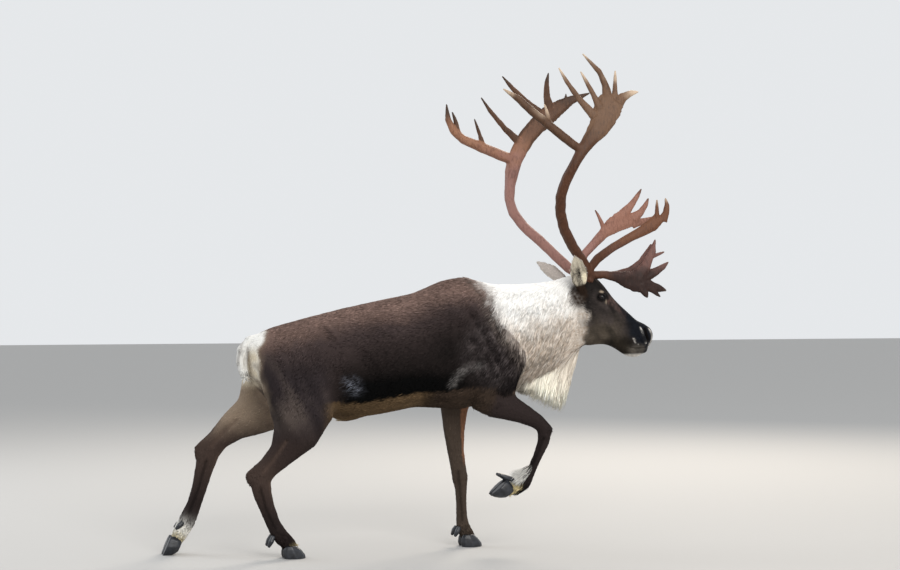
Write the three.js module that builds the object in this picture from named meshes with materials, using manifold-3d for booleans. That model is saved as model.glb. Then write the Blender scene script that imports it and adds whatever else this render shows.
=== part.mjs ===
// A bull reindeer in its autumn coat, walking, at life size, as a set of closed solids.
// Millimetres. +X is towards the head, +Y towards the animal's left, +Z up, and the floor is Z = 0.
import * as THREE from "three";
import { mergeVertices } from "three/addons/utils/BufferGeometryUtils.js";
import Module from "manifold-3d";

const wasm = await Module();
wasm.setup();

// Driving dimensions of the animal.
const withersHeight = 1205;
const chestFloor = 610;
const chestHalfWidth = 232;
const rumpHeight = 985;
const bodyLean = 14;
const headForward = 742;
const headYaw = THREE.MathUtils.degToRad(4);
const headHalfWidth = 86;
const eyeRadius = 16;
const eyePlace = [70, 77, 1108];
const hoofLength = 96;
const hoofHeight = 54;
const hoofHalfWidth = 23;
const hoofSpacing = 26;
const dewclawSpacing = 25;
const beamThickness = 24;
const orbitPlace = [62, 58, 1112];
const orbitSize = [40, 30, 32];

// Fits between neighbouring solids.
const sawWidth = 0.3;
const clearance = 0.4;
const farReach = 5000;

// How many flats go round each kind of piece, and round and up a ball.
const flats = {
  trunk: 14,
  neck: 12,
  head: 14,
  orbit: [7, 5],
  eye: [8, 5],
  mane: 7,
  shoulder: 6,
  leg: 8,
  tail: 6,
  ear: 7,
  hoof: 8,
  small: 6,
};
const headRingsPerStation = 2;

// What a section has when its station doesn't say: its widest place halfway up, and an elliptic outline.
const midHeight = 0.5;
const elliptic = 2;

const sideways = new THREE.Vector3(0, 1, 0);
const palmFacing = new THREE.Vector3(0.26, 0.97, 0);

function vector(place) {
  return new THREE.Vector3(...place);
}

// A geometry with its shared corners merged, as a solid that can be joined and cut.
function solid(geometry) {
  const bare = geometry.clone();
  bare.deleteAttribute("normal");
  bare.deleteAttribute("uv");
  const merged = mergeVertices(bare, 1e-3);
  return new wasm.Manifold(
    new wasm.Mesh({
      numProp: 3,
      vertProperties: merged.attributes.position.array,
      triVerts: new Uint32Array(merged.index.array),
    }),
  );
}

// A closed surface over rings of points, with a fan over each end, its ends moved out by grow.
function skinOver(rings, grow = 0) {
  const around = rings[0].length;
  const middle = (ring) => ring.reduce((sum, p) => sum.add(p), new THREE.Vector3()).divideScalar(around);
  for (const [end, inner] of [[rings[0], rings[1]], [rings.at(-1), rings.at(-2)]]) {
    const outward = middle(end).sub(middle(inner)).setLength(grow);
    end.forEach((p) => p.add(outward));
  }
  const points = [...rings.flat(), middle(rings[0]), middle(rings.at(-1))];
  const firstMiddle = rings.length * around;
  const lastMiddle = firstMiddle + 1;
  const lastRing = firstMiddle - around;
  const index = [];
  for (let j = 0; j < around; j += 1) {
    const next = (j + 1) % around;
    for (let start = 0; start < lastRing; start += around) {
      index.push(start + j, start + next, start + around + next);
      index.push(start + j, start + around + next, start + around + j);
    }
    index.push(firstMiddle, next, j);
    index.push(lastMiddle, lastRing + j, lastRing + next);
  }
  const geometry = new THREE.BufferGeometry().setFromPoints(points);
  geometry.setIndex(index);
  return geometry;
}

// The sine and cosine of a rounded section: power 2 is an ellipse, more is squarer.
function roundedTurn(angle, power) {
  const bend = (value) => Math.sign(value) * Math.abs(value) ** (2 / power);
  return [bend(Math.cos(angle)), bend(Math.sin(angle))];
}

function smoothTrack(values) {
  return new THREE.CatmullRomCurve3(values, false, "catmullrom");
}

// A body through upright sections. A station has its top and bottom as [x, z], its half width, how
// high its widest place is from 0 to 1, its squareness, and how far it is moved to the left.
function loft(stations, around, grow = 0, steps = 1) {
  const list = Object.values(stations);
  const shift = (s) => s.shift ?? 0;
  const tops = smoothTrack(list.map((s) => new THREE.Vector3(s.top[0], shift(s), s.top[1])));
  const bottoms = smoothTrack(list.map((s) => new THREE.Vector3(s.bottom[0], shift(s), s.bottom[1])));
  const outline = (s) => new THREE.Vector3(s.half, s.widest ?? midHeight, s.power ?? elliptic);
  const forms = smoothTrack(list.map(outline));
  const count = (list.length - 1) * steps;
  const rings = [];
  for (let i = 0; i <= count; i += 1) {
    const top = tops.getPoint(i / count);
    const bottom = bottoms.getPoint(i / count);
    const form = forms.getPoint(i / count);
    const middle = bottom.clone().lerp(top, form.y);
    const up = top.clone().sub(bottom).normalize();
    const ring = [];
    for (let j = 0; j < around; j += 1) {
      const [across, rise] = roundedTurn((j / around) * 2 * Math.PI, form.z);
      const height = rise > 0 ? top.distanceTo(middle) : middle.distanceTo(bottom);
      const point = middle.clone().addScaledVector(up, rise * (height + grow));
      ring.push(point.addScaledVector(sideways, across * (form.x + grow)));
    }
    rings.push(ring);
  }
  return skinOver(rings, grow);
}

function pathOf(stations) {
  return smoothTrack(Object.values(stations).map((s) => vector(s.at)));
}

// A limb, beam or ear along a path. A station has its place, its half size across the facing
// direction (wide) and along it (thin), and how far its edges bend towards that direction (cup).
function sweep(stations, facing, around, grow = 0) {
  const list = Object.values(stations);
  const path = pathOf(stations);
  const forms = smoothTrack(list.map((s) => new THREE.Vector3(s.wide, s.thin ?? s.wide, s.cup ?? 0)));
  const count = list.length - 1;
  const rings = [];
  for (let i = 0; i <= count; i += 1) {
    const middle = path.getPoint(i / count);
    const along = path.getTangent(i / count);
    const form = forms.getPoint(i / count);
    const thin = facing.clone().addScaledVector(along, -along.dot(facing)).normalize();
    const wide = thin.clone().cross(along);
    const ring = [];
    for (let j = 0; j < around; j += 1) {
      const [across, through] = roundedTurn((j / around) * 2 * Math.PI, elliptic);
      const lift = through * (form.y + grow) + across * across * form.z;
      const edge = middle.clone().addScaledVector(wide, across * (form.x + grow));
      ring.push(edge.addScaledVector(thin, lift));
    }
    rings.push(ring);
  }
  return skinOver(rings, grow);
}

function halfSpace(point, normal, side) {
  const box = new THREE.BoxGeometry(farReach, farReach, farReach);
  box.translate(0, 0, (side * (farReach + sawWidth)) / 2);
  box.applyQuaternion(new THREE.Quaternion().setFromUnitVectors(new THREE.Vector3(0, 0, 1), normal));
  box.translate(point.x, point.y, point.z);
  return solid(box);
}

// The two sides of a solid sawn through at a plane: first the side that the normal points to.
function sawn(body, point, normal) {
  return [1, -1].map((side) => body.intersect(halfSpace(point, normal, side)));
}

function joined(bodies) {
  return bodies.reduce((whole, body) => whole.add(body));
}

function without(body, others) {
  return others.reduce((rest, other) => rest.subtract(other), body);
}

// Trunk, from the rump to the breast.
const trunkStations = {
  rumpEnd: { top: [-764, 905], bottom: [-764, 800], half: 46 },
  buttock: { top: [-742, 945], bottom: [-748, 745], half: 108 },
  croup: { top: [-655, rumpHeight], bottom: [-660, 655], half: 160 },
  hip: { top: [-510, 1024], bottom: [-510, 598], half: 190 },
  flank: { top: [-340, 1066], bottom: [-340, 572], half: 205, shift: bodyLean * 0.5 },
  loin: { top: [-180, 1100], bottom: [-180, 590], half: 226, shift: bodyLean, widest: 0.47 },
  ribs: { top: [-25, 1131], bottom: [-25, 620], half: chestHalfWidth, shift: bodyLean, widest: 0.47 },
  girth: { top: [115, 1191], bottom: [110, chestFloor], half: 218, shift: bodyLean, widest: 0.46 },
  withers: { top: [208, withersHeight], bottom: [235, 614], half: 202, shift: 10, widest: 0.45 },
  shoulder: { top: [330, 1174], bottom: [345, 650], half: 182, shift: 6, widest: 0.45 },
  breast: { top: [420, 1100], bottom: [425, 722], half: 132 },
  breastEnd: { top: [468, 960], bottom: [468, 830], half: 50 },
};

// Neck, from the withers to the back of the head.
const neckStations = {
  withers: { top: [200, 1172], bottom: [350, 700], half: 165 },
  root: { top: [330, 1172], bottom: [430, 706], half: 150 },
  low: { top: [430, 1172], bottom: [530, 748], half: 132 },
  middle: { top: [532, 1178], bottom: [622, 790], half: 117, shift: 3 },
  high: { top: [622, 1191], bottom: [692, 834], half: 104, shift: 5 },
  poll: { top: [690, 1214], bottom: [748, 872], half: 92, shift: 6 },
  inHead: { top: [742, 1200], bottom: [790, 905], half: 66, shift: 8 },
};

// Head in its own frame: x from the poll towards the nose, before the head is turned.
const headStations = {
  nape: { top: [-34, 1214], bottom: [-66, 892], half: 66 },
  poll: { top: [-2, 1236], bottom: [-34, 878], half: 80, widest: 0.52 },
  forehead: { top: [50, 1216], bottom: [18, 882], half: headHalfWidth, widest: 0.56, power: 2.2 },
  brow: { top: [108, 1162], bottom: [84, 890], half: 78, widest: 0.62, power: 2.3 },
  cheek: { top: [152, 1110], bottom: [134, 887], half: 64, widest: 0.6, power: 2.3 },
  bridge: { top: [196, 1070], bottom: [172, 871], half: 53, widest: 0.56, power: 2.3 },
  narrow: { top: [236, 1037], bottom: [206, 850], half: 48, widest: 0.52, power: 2.3 },
  lips: { top: [276, 1003], bottom: [242, 834], half: 51, widest: 0.5, power: 2.4 },
  nostrils: { top: [312, 988], bottom: [280, 834], half: 52, widest: 0.52, power: 2.4 },
  nose: { top: [338, 965], bottom: [312, 858], half: 42, widest: 0.52, power: 2.2 },
  noseEnd: { top: [350, 938], bottom: [338, 896], half: 20 },
};

// Throat mane, the long hair that hangs under the neck.
const maneStations = {
  breastEnd: { top: [385, 722], bottom: [392, 690], half: 26 },
  breast: { top: [450, 762], bottom: [450, 657], half: 62 },
  low: { top: [525, 800], bottom: [520, 638], half: 66, widest: 0.62 },
  middle: { top: [590, 830], bottom: [590, 618], half: 60, widest: 0.66 },
  high: { top: [650, 865], bottom: [662, 612], half: 52, widest: 0.7 },
  front: { top: [696, 890], bottom: [704, 690], half: 42, widest: 0.66 },
  throat: { top: [738, 905], bottom: [738, 800], half: 34 },
  throatEnd: { top: [768, 905], bottom: [772, 872], half: 16 },
};

const tailStations = {
  root: { at: [-700, 0, 940], wide: 26, thin: 36 },
  dock: { at: [-752, 0, 925], wide: 30, thin: 42 },
  bend: { at: [-788, 0, 885], wide: 31, thin: 46 },
  middle: { at: [-796, 0, 838], wide: 28, thin: 44 },
  low: { at: [-789, 0, 792], wide: 24, thin: 36 },
  tip: { at: [-774, 0, 756], wide: 9, thin: 12 },
};

// Shoulder masses, and the legs from the body down. Wide is fore and aft, thin is across.
const leftShoulder = {
  blade: { at: [215, 95, 1035], wide: 62, thin: 40 },
  upper: { at: [262, 122, 930], wide: 98, thin: 62 },
  point: { at: [290, 130, 825], wide: 112, thin: 70 },
  arm: { at: [245, 122, 720], wide: 100, thin: 64 },
  elbow: { at: [205, 112, 640], wide: 64, thin: 50 },
};

const rightShoulder = {
  blade: { at: [222, -100, 1035], wide: 62, thin: 42 },
  upper: { at: [285, -126, 935], wide: 98, thin: 62 },
  point: { at: [340, -136, 828], wide: 116, thin: 72 },
  arm: { at: [302, -138, 722], wide: 108, thin: 68 },
  elbow: { at: [240, -132, 655], wide: 64, thin: 52 },
};

// The thigh muscle behind the leg that is stretched back.
const leftHamstring = {
  top: { at: [-690, 78, 812], wide: 62, thin: 44 },
  middle: { at: [-712, 98, 735], wide: 74, thin: 56 },
  low: { at: [-728, 112, 662], wide: 66, thin: 54 },
  end: { at: [-748, 120, 606], wide: 40, thin: 40 },
};

const leftForeleg = {
  arm: { at: [205, 100, 760], wide: 96, thin: 62 },
  elbow: { at: [186, 104, 660], wide: 78, thin: 56 },
  forearm: { at: [183, 100, 585], wide: 63, thin: 50 },
  middle: { at: [180, 92, 510], wide: 52, thin: 43 },
  aboveKnee: { at: [184, 82, 425], wide: 42, thin: 36 },
  kneeTop: { at: [194, 75, 352], wide: 39, thin: 34 },
  knee: { at: [201, 70, 308], wide: 39, thin: 35 },
  belowKnee: { at: [204, 65, 258], wide: 29, thin: 29 },
  cannon: { at: [204, 58, 195], wide: 25, thin: 25 },
  aboveFetlock: { at: [204, 51, 132], wide: 26, thin: 27 },
  fetlock: { at: [207, 46, 92], wide: 32, thin: 34 },
  pastern: { at: [222, 42, 62], wide: 32, thin: 38 },
  coronet: { at: [238, 40, 38], wide: 26, thin: 34 },
};

const rightForeleg = {
  elbow: { at: [215, -138, 685], wide: 74, thin: 54 },
  forearm: { at: [288, -148, 655], wide: 76, thin: 54 },
  middle: { at: [356, -151, 630], wide: 64, thin: 48 },
  lower: { at: [428, -152, 597], wide: 48, thin: 41 },
  kneeTop: { at: [492, -152, 563], wide: 37, thin: 36 },
  knee: { at: [530, -152, 526], wide: 37, thin: 37 },
  belowKnee: { at: [520, -152, 470], wide: 27, thin: 30 },
  cannon: { at: [494, -151, 410], wide: 21, thin: 25 },
  aboveFetlock: { at: [466, -150, 350], wide: 21, thin: 25 },
  fetlock: { at: [436, -150, 298], wide: 31, thin: 33 },
  pastern: { at: [398, -150, 274], wide: 30, thin: 36 },
  coronet: { at: [362, -150, 266], wide: 25, thin: 33 },
};

const rightHindleg = {
  hip: { at: [-560, -95, 850], wide: 165, thin: 84 },
  thigh: { at: [-564, -118, 725], wide: 170, thin: 92 },
  stifle: { at: [-553, -134, 618], wide: 146, thin: 84 },
  gaskin: { at: [-584, -142, 520], wide: 104, thin: 66 },
  gaskinLow: { at: [-642, -144, 443], wide: 62, thin: 48 },
  aboveHock: { at: [-700, -143, 386], wide: 50, thin: 38 },
  hock: { at: [-734, -141, 335], wide: 50, thin: 36 },
  belowHock: { at: [-722, -139, 275], wide: 42, thin: 30 },
  cannon: { at: [-702, -137, 216], wide: 35, thin: 27 },
  aboveFetlock: { at: [-676, -134, 150], wide: 32, thin: 28 },
  fetlock: { at: [-652, -132, 106], wide: 36, thin: 35 },
  pastern: { at: [-618, -130, 70], wide: 33, thin: 39 },
  coronet: { at: [-592, -130, 42], wide: 27, thin: 35 },
};

const leftHindleg = {
  hip: { at: [-560, 95, 850], wide: 160, thin: 84 },
  thigh: { at: [-595, 112, 728], wide: 160, thin: 90 },
  stifle: { at: [-655, 119, 642], wide: 138, thin: 80 },
  gaskin: { at: [-735, 123, 588], wide: 96, thin: 62 },
  gaskinLow: { at: [-806, 124, 548], wide: 72, thin: 49 },
  aboveHock: { at: [-872, 122, 492], wide: 53, thin: 39 },
  hock: { at: [-918, 120, 430], wide: 52, thin: 36 },
  belowHock: { at: [-936, 118, 360], wide: 41, thin: 30 },
  cannon: { at: [-955, 116, 286], wide: 35, thin: 27 },
  aboveFetlock: { at: [-978, 114, 215], wide: 33, thin: 28 },
  fetlock: { at: [-1004, 113, 154], wide: 38, thin: 35 },
  pastern: { at: [-1034, 112, 100], wide: 35, thin: 39 },
  coronet: { at: [-1056, 112, 60], wide: 27, thin: 34 },
};

// The heel bone stands out behind each hock.
const rightHeel = {
  root: { at: [-672, -143, 428], wide: 26, thin: 24 },
  back: { at: [-735, -142, 392], wide: 24, thin: 23 },
  point: { at: [-788, -141, 358], wide: 16, thin: 16 },
  end: { at: [-770, -141, 318], wide: 15, thin: 15 },
};

const leftHeel = {
  root: { at: [-832, 123, 545], wide: 26, thin: 24 },
  back: { at: [-905, 122, 500], wide: 24, thin: 23 },
  point: { at: [-966, 121, 458], wide: 16, thin: 16 },
  end: { at: [-962, 120, 415], wide: 15, thin: 15 },
};

const sheathStations = {
  root: { at: [-270, 4, 596], wide: 26, thin: 24 },
  middle: { at: [-330, 4, 580], wide: 26, thin: 22 },
  tip: { at: [-384, 4, 562], wide: 9, thin: 9 },
};

// Where each foot's heel is, how far the toe is turned down, and where its dewclaws start and end.
const feet = {
  fore_left: { heel: [194, 40, 0], pitch: 0, dewclaw: [[184, 88], [162, 48]] },
  fore_right: { heel: [348, -150, 312], pitch: 139, dewclaw: [[378, 310], [313, 335]] },
  hind_left: { heel: [-1082, 112, 84], pitch: 113, dewclaw: [[-1030, 140], [-1062, 112]] },
  hind_right: { heel: [-634, -130, 0], pitch: 0, dewclaw: [[-678, 98], [-700, 52]] },
};

// A hoof from the sole up. Heel and toe are shares of its length, half of its half width, up of its height.
const hoofLevels = {
  sole: { up: 0, heel: 0.02, toe: 1, half: 0.96 },
  wall: { up: 0.3, heel: -0.03, toe: 0.97, half: 1 },
  upperWall: { up: 0.72, heel: -0.01, toe: 0.78, half: 0.92 },
  coronet: { up: 1, heel: 0.08, toe: 0.58, half: 0.66 },
};
const hoofSquareness = 2.2;
const hoofInwardCurl = 7;
const toeNarrowing = 0.25;

// One toe's hoof, with its heel at the origin and its toe along +X. Inner is +1 or -1 towards its twin.
function hoofGeometry(inner, grow = 0) {
  const rings = Object.values(hoofLevels).map(({ up, heel, toe, half }) => {
    const middle = (hoofLength * (toe + heel)) / 2;
    const reach = (hoofLength * (toe - heel)) / 2;
    const ring = [];
    for (let j = 0; j < flats.hoof; j += 1) {
      const [along, across] = roundedTurn((j / flats.hoof) * 2 * Math.PI, hoofSquareness);
      const forward = Math.max(along, 0);
      const width = hoofHalfWidth * half * (1 - toeNarrowing * forward) + grow;
      const curl = inner * hoofInwardCurl * forward * forward;
      ring.push(new THREE.Vector3(middle + along * (reach + grow), across * width + curl, hoofHeight * up));
    }
    return ring;
  });
  return skinOver(rings, grow);
}

function footPlaced(geometry, foot, y) {
  geometry.applyMatrix4(new THREE.Matrix4().makeRotationY(THREE.MathUtils.degToRad(foot.pitch)));
  geometry.translate(foot.heel[0], y, foot.heel[2]);
  return geometry;
}

function hoof(foot, side, grow = 0) {
  const y = foot.heel[1] + side * hoofSpacing;
  const placed = solid(footPlaced(hoofGeometry(-side, grow), foot, y));
  const [aboveFloor] = sawn(placed, new THREE.Vector3(0, 0, -sawWidth / 2), new THREE.Vector3(0, 0, 1));
  return grow > 0 ? placed : aboveFloor;
}

// A dewclaw's places from its start to its end, with its half thickness and how far each is set outwards.
const dewclawForm = {
  start: { along: 0, wide: 10, out: -4 },
  middle: { along: 0.5, wide: 12, out: 2 },
  end: { along: 1, wide: 6, out: 2 },
};

function dewclaw(foot, side, grow = 0) {
  const y = foot.heel[1] + side * dewclawSpacing;
  const [start, end] = foot.dewclaw.map(([x, z]) => new THREE.Vector3(x, y, z));
  const stations = Object.values(dewclawForm).map(({ along, wide, out }) => {
    const place = start.clone().lerp(end, along).addScaledVector(sideways, side * out);
    return { at: place.toArray(), wide };
  });
  return solid(sweep(stations, sideways, flats.small, grow));
}

function legForm(stations, grow = 0) {
  return solid(sweep(stations, sideways, flats.leg, grow));
}

// A leg sawn at the named stations, from the body down.
function legSawn(stations, joints, extra = []) {
  const names = Object.keys(stations);
  const path = pathOf(stations);
  const parts = [];
  let rest = joined([legForm(stations), ...extra]);
  for (const joint of joints) {
    const t = names.indexOf(joint) / (names.length - 1);
    const [below, above] = sawn(rest, path.getPoint(t), path.getTangent(t));
    parts.push(above);
    rest = below;
  }
  parts.push(rest);
  return parts;
}

function turnedHead(geometry) {
  geometry.rotateZ(headYaw);
  geometry.translate(headForward, 0, 0);
  return geometry;
}

// A ball of the head, given on its left side and mirrored to the right when side is -1.
function headBall([x, y, z], sizes, side, [around, rows], grow) {
  const geometry = new THREE.SphereGeometry(1, around, rows);
  geometry.scale(...sizes.map((size) => size + grow));
  geometry.translate(x, side * y, z);
  return solid(turnedHead(geometry));
}

function eye(side, grow = 0) {
  return headBall(eyePlace, [eyeRadius, eyeRadius, eyeRadius], side, flats.eye, grow);
}

function headForm(grow = 0) {
  const skull = solid(turnedHead(loft(headStations, flats.head, grow, headRingsPerStation)));
  const orbits = [1, -1].map((side) => headBall(orbitPlace, orbitSize, side, flats.orbit, grow));
  return joined([skull, ...orbits]);
}

function trunkForm(grow = 0) {
  return solid(loft(trunkStations, flats.trunk, grow));
}

function neckForm(grow = 0) {
  return solid(loft(neckStations, flats.neck, grow));
}

function muscleForms(grow = 0) {
  const form = (stations) => solid(sweep(stations, sideways, flats.shoulder, grow));
  return [leftShoulder, rightShoulder, leftHamstring].map(form);
}

const rightEar = {
  root: { at: [730, -68, 1124], wide: 17, thin: 17 },
  base: { at: [715, -88, 1154], wide: 25, thin: 14, cup: 5 },
  low: { at: [701, -110, 1188], wide: 44, thin: 9, cup: 13 },
  middle: { at: [690, -124, 1224], wide: 47, thin: 7, cup: 15 },
  high: { at: [678, -133, 1260], wide: 34, thin: 6, cup: 10 },
  tip: { at: [669, -138, 1290], wide: 8, thin: 4, cup: 1 },
};

const leftEar = {
  root: { at: [728, 72, 1146], wide: 17, thin: 17 },
  base: { at: [708, 94, 1170], wide: 24, thin: 14, cup: 5 },
  low: { at: [680, 112, 1194], wide: 33, thin: 9, cup: 12 },
  middle: { at: [648, 126, 1220], wide: 36, thin: 7, cup: 14 },
  high: { at: [615, 135, 1244], wide: 27, thin: 6, cup: 9 },
  tip: { at: [586, 141, 1265], wide: 8, thin: 4, cup: 1 },
};

const rightEarFacing = new THREE.Vector3(-0.12, -0.97, 0.1);
const leftEarFacing = new THREE.Vector3(0.25, 0.9, 0.35);

function ear(side, grow = 0) {
  return side > 0
    ? solid(sweep(leftEar, leftEarFacing, flats.ear, grow))
    : solid(sweep(rightEar, rightEarFacing, flats.ear, grow));
}

// How a prong narrows: share of the way to its tip, share of its root's half width, and how flat it is.
const prongTaper = [
  { along: 0, width: 1, thin: 8 },
  { along: 0.38, width: 0.62, thin: 9 },
  { along: 0.74, width: 0.42, thin: 9 },
  { along: 1, width: 0, thin: 3 },
];
const prongTip = 3;

// The rows of a prong from its root to its tip, bowed upwards in the middle, or downwards when negative.
function prongRows({ root, tip, half, bow = 0 }) {
  const start = vector(root);
  const run = vector(tip).sub(start);
  const across = palmFacing.clone().cross(run).normalize();
  const upwards = across.multiplyScalar(Math.sign(across.z) || 1);
  return prongTaper.map(({ along, width, thin }) => {
    const arch = bow * 4 * along * (1 - along);
    const place = start.clone().addScaledVector(run, along).addScaledVector(upwards, arch);
    const wide = Math.max(half * width, prongTip);
    return [...place.toArray(), wide, Math.min(thin, wide)];
  });
}

// A beam or palm from rows of [x, y, z, half width, half thickness], or a prong from its root and tip.
function tine(limb, grow = 0) {
  const rows = Array.isArray(limb) ? limb : prongRows(limb);
  const stations = rows.map(([x, y, z, wide, thin]) => ({ at: [x, y, z], wide, thin: thin ?? wide }));
  return solid(sweep(stations, palmFacing, flats.small, grow));
}

const rightBeam = [
  [770, -34, 1168, 22],
  [768, -44, 1212, beamThickness + 2],
  [734, -70, 1263, beamThickness],
  [668, -120, 1331, beamThickness],
  [607, -182, 1405, beamThickness],
  [572, -235, 1478, beamThickness],
  [559, -282, 1551, beamThickness],
  [572, -314, 1615, beamThickness],
  [600, -345, 1683, beamThickness - 1],
  [633, -353, 1742, beamThickness + 2, 20],
  [668, -355, 1790, 35, 15],
];

const rightCrown = {
  palm: [
    [633, -353, 1742, 26, 19],
    [668, -355, 1790, 35, 15],
    [704, -353, 1836, 46, 12],
    [731, -350, 1884, 57, 10],
    [752, -345, 1928, 65, 9],
    [772, -341, 1964, 58, 7],
  ],
  first: { root: [692, -346, 1888], tip: [541, -305, 2100], half: 22, bow: -10 },
  second: { root: [718, -344, 1922], tip: [638, -312, 2086], half: 19, bow: 2 },
  third: [
    [757, -341, 1950, 26, 9],
    [746, -325, 2032, 16, 12],
    [724, -310, 2088, 12],
    [658, -280, 2167, 3],
  ],
  fourth: { root: [786, -338, 1968], tip: [796, -315, 2094], half: 17 },
  fifth: { root: [790, -342, 1944], tip: [900, -322, 2004], half: 34, bow: 14 },
};

const rightRear = {
  stem: [
    [638, -352, 1742, 18, 15],
    [600, -350, 1760, 19],
    [544, -350, 1801, 20],
    [404, -340, 1909, 18],
    [350, -330, 1960, 15],
    [288, -315, 2001, 3],
  ],
  spur: { root: [486, -344, 1852], tip: [466, -335, 1938], half: 14, bow: 3 },
};

const rightBez = {
  stem: [
    [762, -46, 1222, 20],
    [803, -66, 1280, 20],
    [866, -96, 1331, 20],
    [940, -120, 1375, 21, 18],
    [990, -132, 1402, 25, 15],
    [1034, -141, 1430, 31, 12],
    [1066, -148, 1464, 27, 9],
  ],
  back: { root: [1054, -148, 1442], tip: [1053, -150, 1542], half: 17 },
  front: { root: [1078, -150, 1450], tip: [1091, -155, 1550], half: 25, bow: -14 },
};

const rightBrow = {
  stem: [
    [765, -42, 1208, 17],
    [840, -44, 1208, 18],
    [900, -42, 1199, 25, 12],
    [948, -38, 1186, 38, 9],
    [994, -34, 1177, 49, 8],
    [1036, -31, 1174, 50, 7],
  ],
  upper: { root: [1002, -32, 1192], tip: [1093, -25, 1368], half: 38, bow: -14 },
  spur: { root: [1062, -27, 1284], tip: [1137, -25, 1312], half: 15 },
  middle: { root: [1038, -30, 1204], tip: [1157, -24, 1266], half: 34, bow: -10 },
  lower: { root: [1034, -30, 1162], tip: [1147, -24, 1136], half: 38, bow: 3 },
  toe: { root: [1056, -29, 1154], tip: [1118, -25, 1108], half: 20 },
  heel: { root: [1014, -32, 1160], tip: [1054, -31, 1103], half: 33, bow: 3 },
};

const leftBeam = [
  [770, 36, 1165, 22],
  [768, 44, 1205, beamThickness + 2],
  [712, 78, 1240, beamThickness],
  [657, 118, 1303, beamThickness],
  [594, 170, 1374, beamThickness],
  [544, 222, 1432, beamThickness],
  [509, 262, 1492, beamThickness],
  [498, 292, 1556, beamThickness],
  [508, 315, 1618, beamThickness + 2],
  [522, 332, 1684, beamThickness + 9],
  [540, 343, 1740, beamThickness + 13, 20],
  [566, 347, 1794, 40, 15],
];

const leftCrown = {
  palm: [
    [540, 343, 1740, 37, 20],
    [566, 347, 1794, 40, 15],
    [602, 349, 1850, 41, 12],
    [652, 348, 1906, 44, 11],
    [706, 342, 1956, 45, 10],
    [760, 332, 1995, 34, 10],
    [812, 321, 2026, 21, 9],
    [893, 300, 2058, 3],
  ],
  second: { root: [574, 347, 1816], tip: [371, 322, 2026], half: 22, bow: -12 },
  third: { root: [678, 345, 1948], tip: [471, 318, 2127], half: 26, bow: -8 },
  fourth: { root: [712, 340, 1972], tip: [695, 315, 2148], half: 27, bow: -14 },
  point: { root: [778, 328, 2004], tip: [785, 325, 2054], half: 12 },
};

const leftRear = {
  stem: [
    [552, 343, 1742, 24, 16],
    [498, 340, 1753, 26],
    [354, 330, 1805, 24],
    [284, 323, 1831, 21],
    [238, 317, 1868, 19],
    [210, 310, 1920, 14],
    [201, 303, 1989, 3],
  ],
  prong: { root: [264, 322, 1840], tip: [233, 322, 1956], half: 19, bow: 5 },
  spur: { root: [386, 331, 1800], tip: [340, 325, 1927], half: 15 },
};

const leftBez = {
  stem: [
    [752, 58, 1222, 20],
    [784, 64, 1300, 20],
    [836, 75, 1350, 21],
    [885, 88, 1396, 26, 15],
    [932, 98, 1432, 39, 11],
    [975, 106, 1456, 47, 9],
    [1036, 115, 1462, 34, 7],
  ],
  upper: { root: [988, 110, 1484], tip: [1080, 118, 1604], half: 27, bow: -5 },
  middle: { root: [1036, 115, 1466], tip: [1116, 122, 1562], half: 28, bow: -12 },
  lower: { root: [1036, 116, 1446], tip: [1141, 125, 1476], half: 27, bow: -6 },
  spur: { root: [890, 88, 1404], tip: [846, 92, 1504], half: 15, bow: 4 },
};

const leftBrow = {
  stem: [
    [766, 42, 1203, 16],
    [850, 45, 1204, 14],
    [930, 38, 1212, 15, 12],
    [990, 30, 1222, 22, 9],
    [1050, 24, 1256, 28, 7],
    [1092, 20, 1348, 5],
  ],
  lower: { root: [1000, 30, 1215], tip: [1084, 22, 1186], half: 18, bow: -4 },
};

// The five solids of one antler, its beam and crown sawn apart at the fork.
function antler(side, beamRows, crown, rear, bez, brow) {
  const tag = side > 0 ? "left" : "right";
  const limbs = (parts) => joined(Object.values(parts).map((limb) => tine(limb)));
  const beamAndCrown = joined([tine(beamRows), limbs(crown)]);
  const fork = vector(crown.palm[0].slice(0, 3));
  const onward = vector(crown.palm[1].slice(0, 3)).sub(fork).normalize();
  const [upper, lower] = sawn(beamAndCrown, fork, onward);
  const room = joined([beamRows, ...Object.values(crown)].map((limb) => tine(limb, clearance)));
  const browRoom = joined(Object.values(brow).map((limb) => tine(limb, clearance)));
  return {
    [`antler_${tag}_beam`]: lower,
    [`antler_${tag}_crown`]: upper,
    [`antler_${tag}_rear_tine`]: without(limbs(rear), [room]),
    [`antler_${tag}_bez_tine`]: without(limbs(bez), [room, browRoom]),
    [`antler_${tag}_brow_tine`]: without(limbs(brow), [room]),
  };
}

function antlerRoom(beamRows, bez, brow) {
  return joined([beamRows, bez.stem, brow.stem].map((rows) => tine(rows, clearance)));
}

const finishes = {
  coat: new THREE.MeshStandardMaterial({ color: 0x5b4a3f, roughness: 0.95, metalness: 0 }),
  paleCoat: new THREE.MeshStandardMaterial({ color: 0xcfc8b8, roughness: 0.95, metalness: 0 }),
  darkCoat: new THREE.MeshStandardMaterial({ color: 0x3a302b, roughness: 0.95, metalness: 0 }),
  legCoat: new THREE.MeshStandardMaterial({ color: 0x4a4039, roughness: 0.95, metalness: 0 }),
  horn: new THREE.MeshStandardMaterial({ color: 0x7a4c35, roughness: 0.6, metalness: 0 }),
  hoof: new THREE.MeshStandardMaterial({ color: 0x1b1a1c, roughness: 0.45, metalness: 0 }),
  eye: new THREE.MeshStandardMaterial({ color: 0x120d0b, roughness: 0.1, metalness: 0 }),
};

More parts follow.
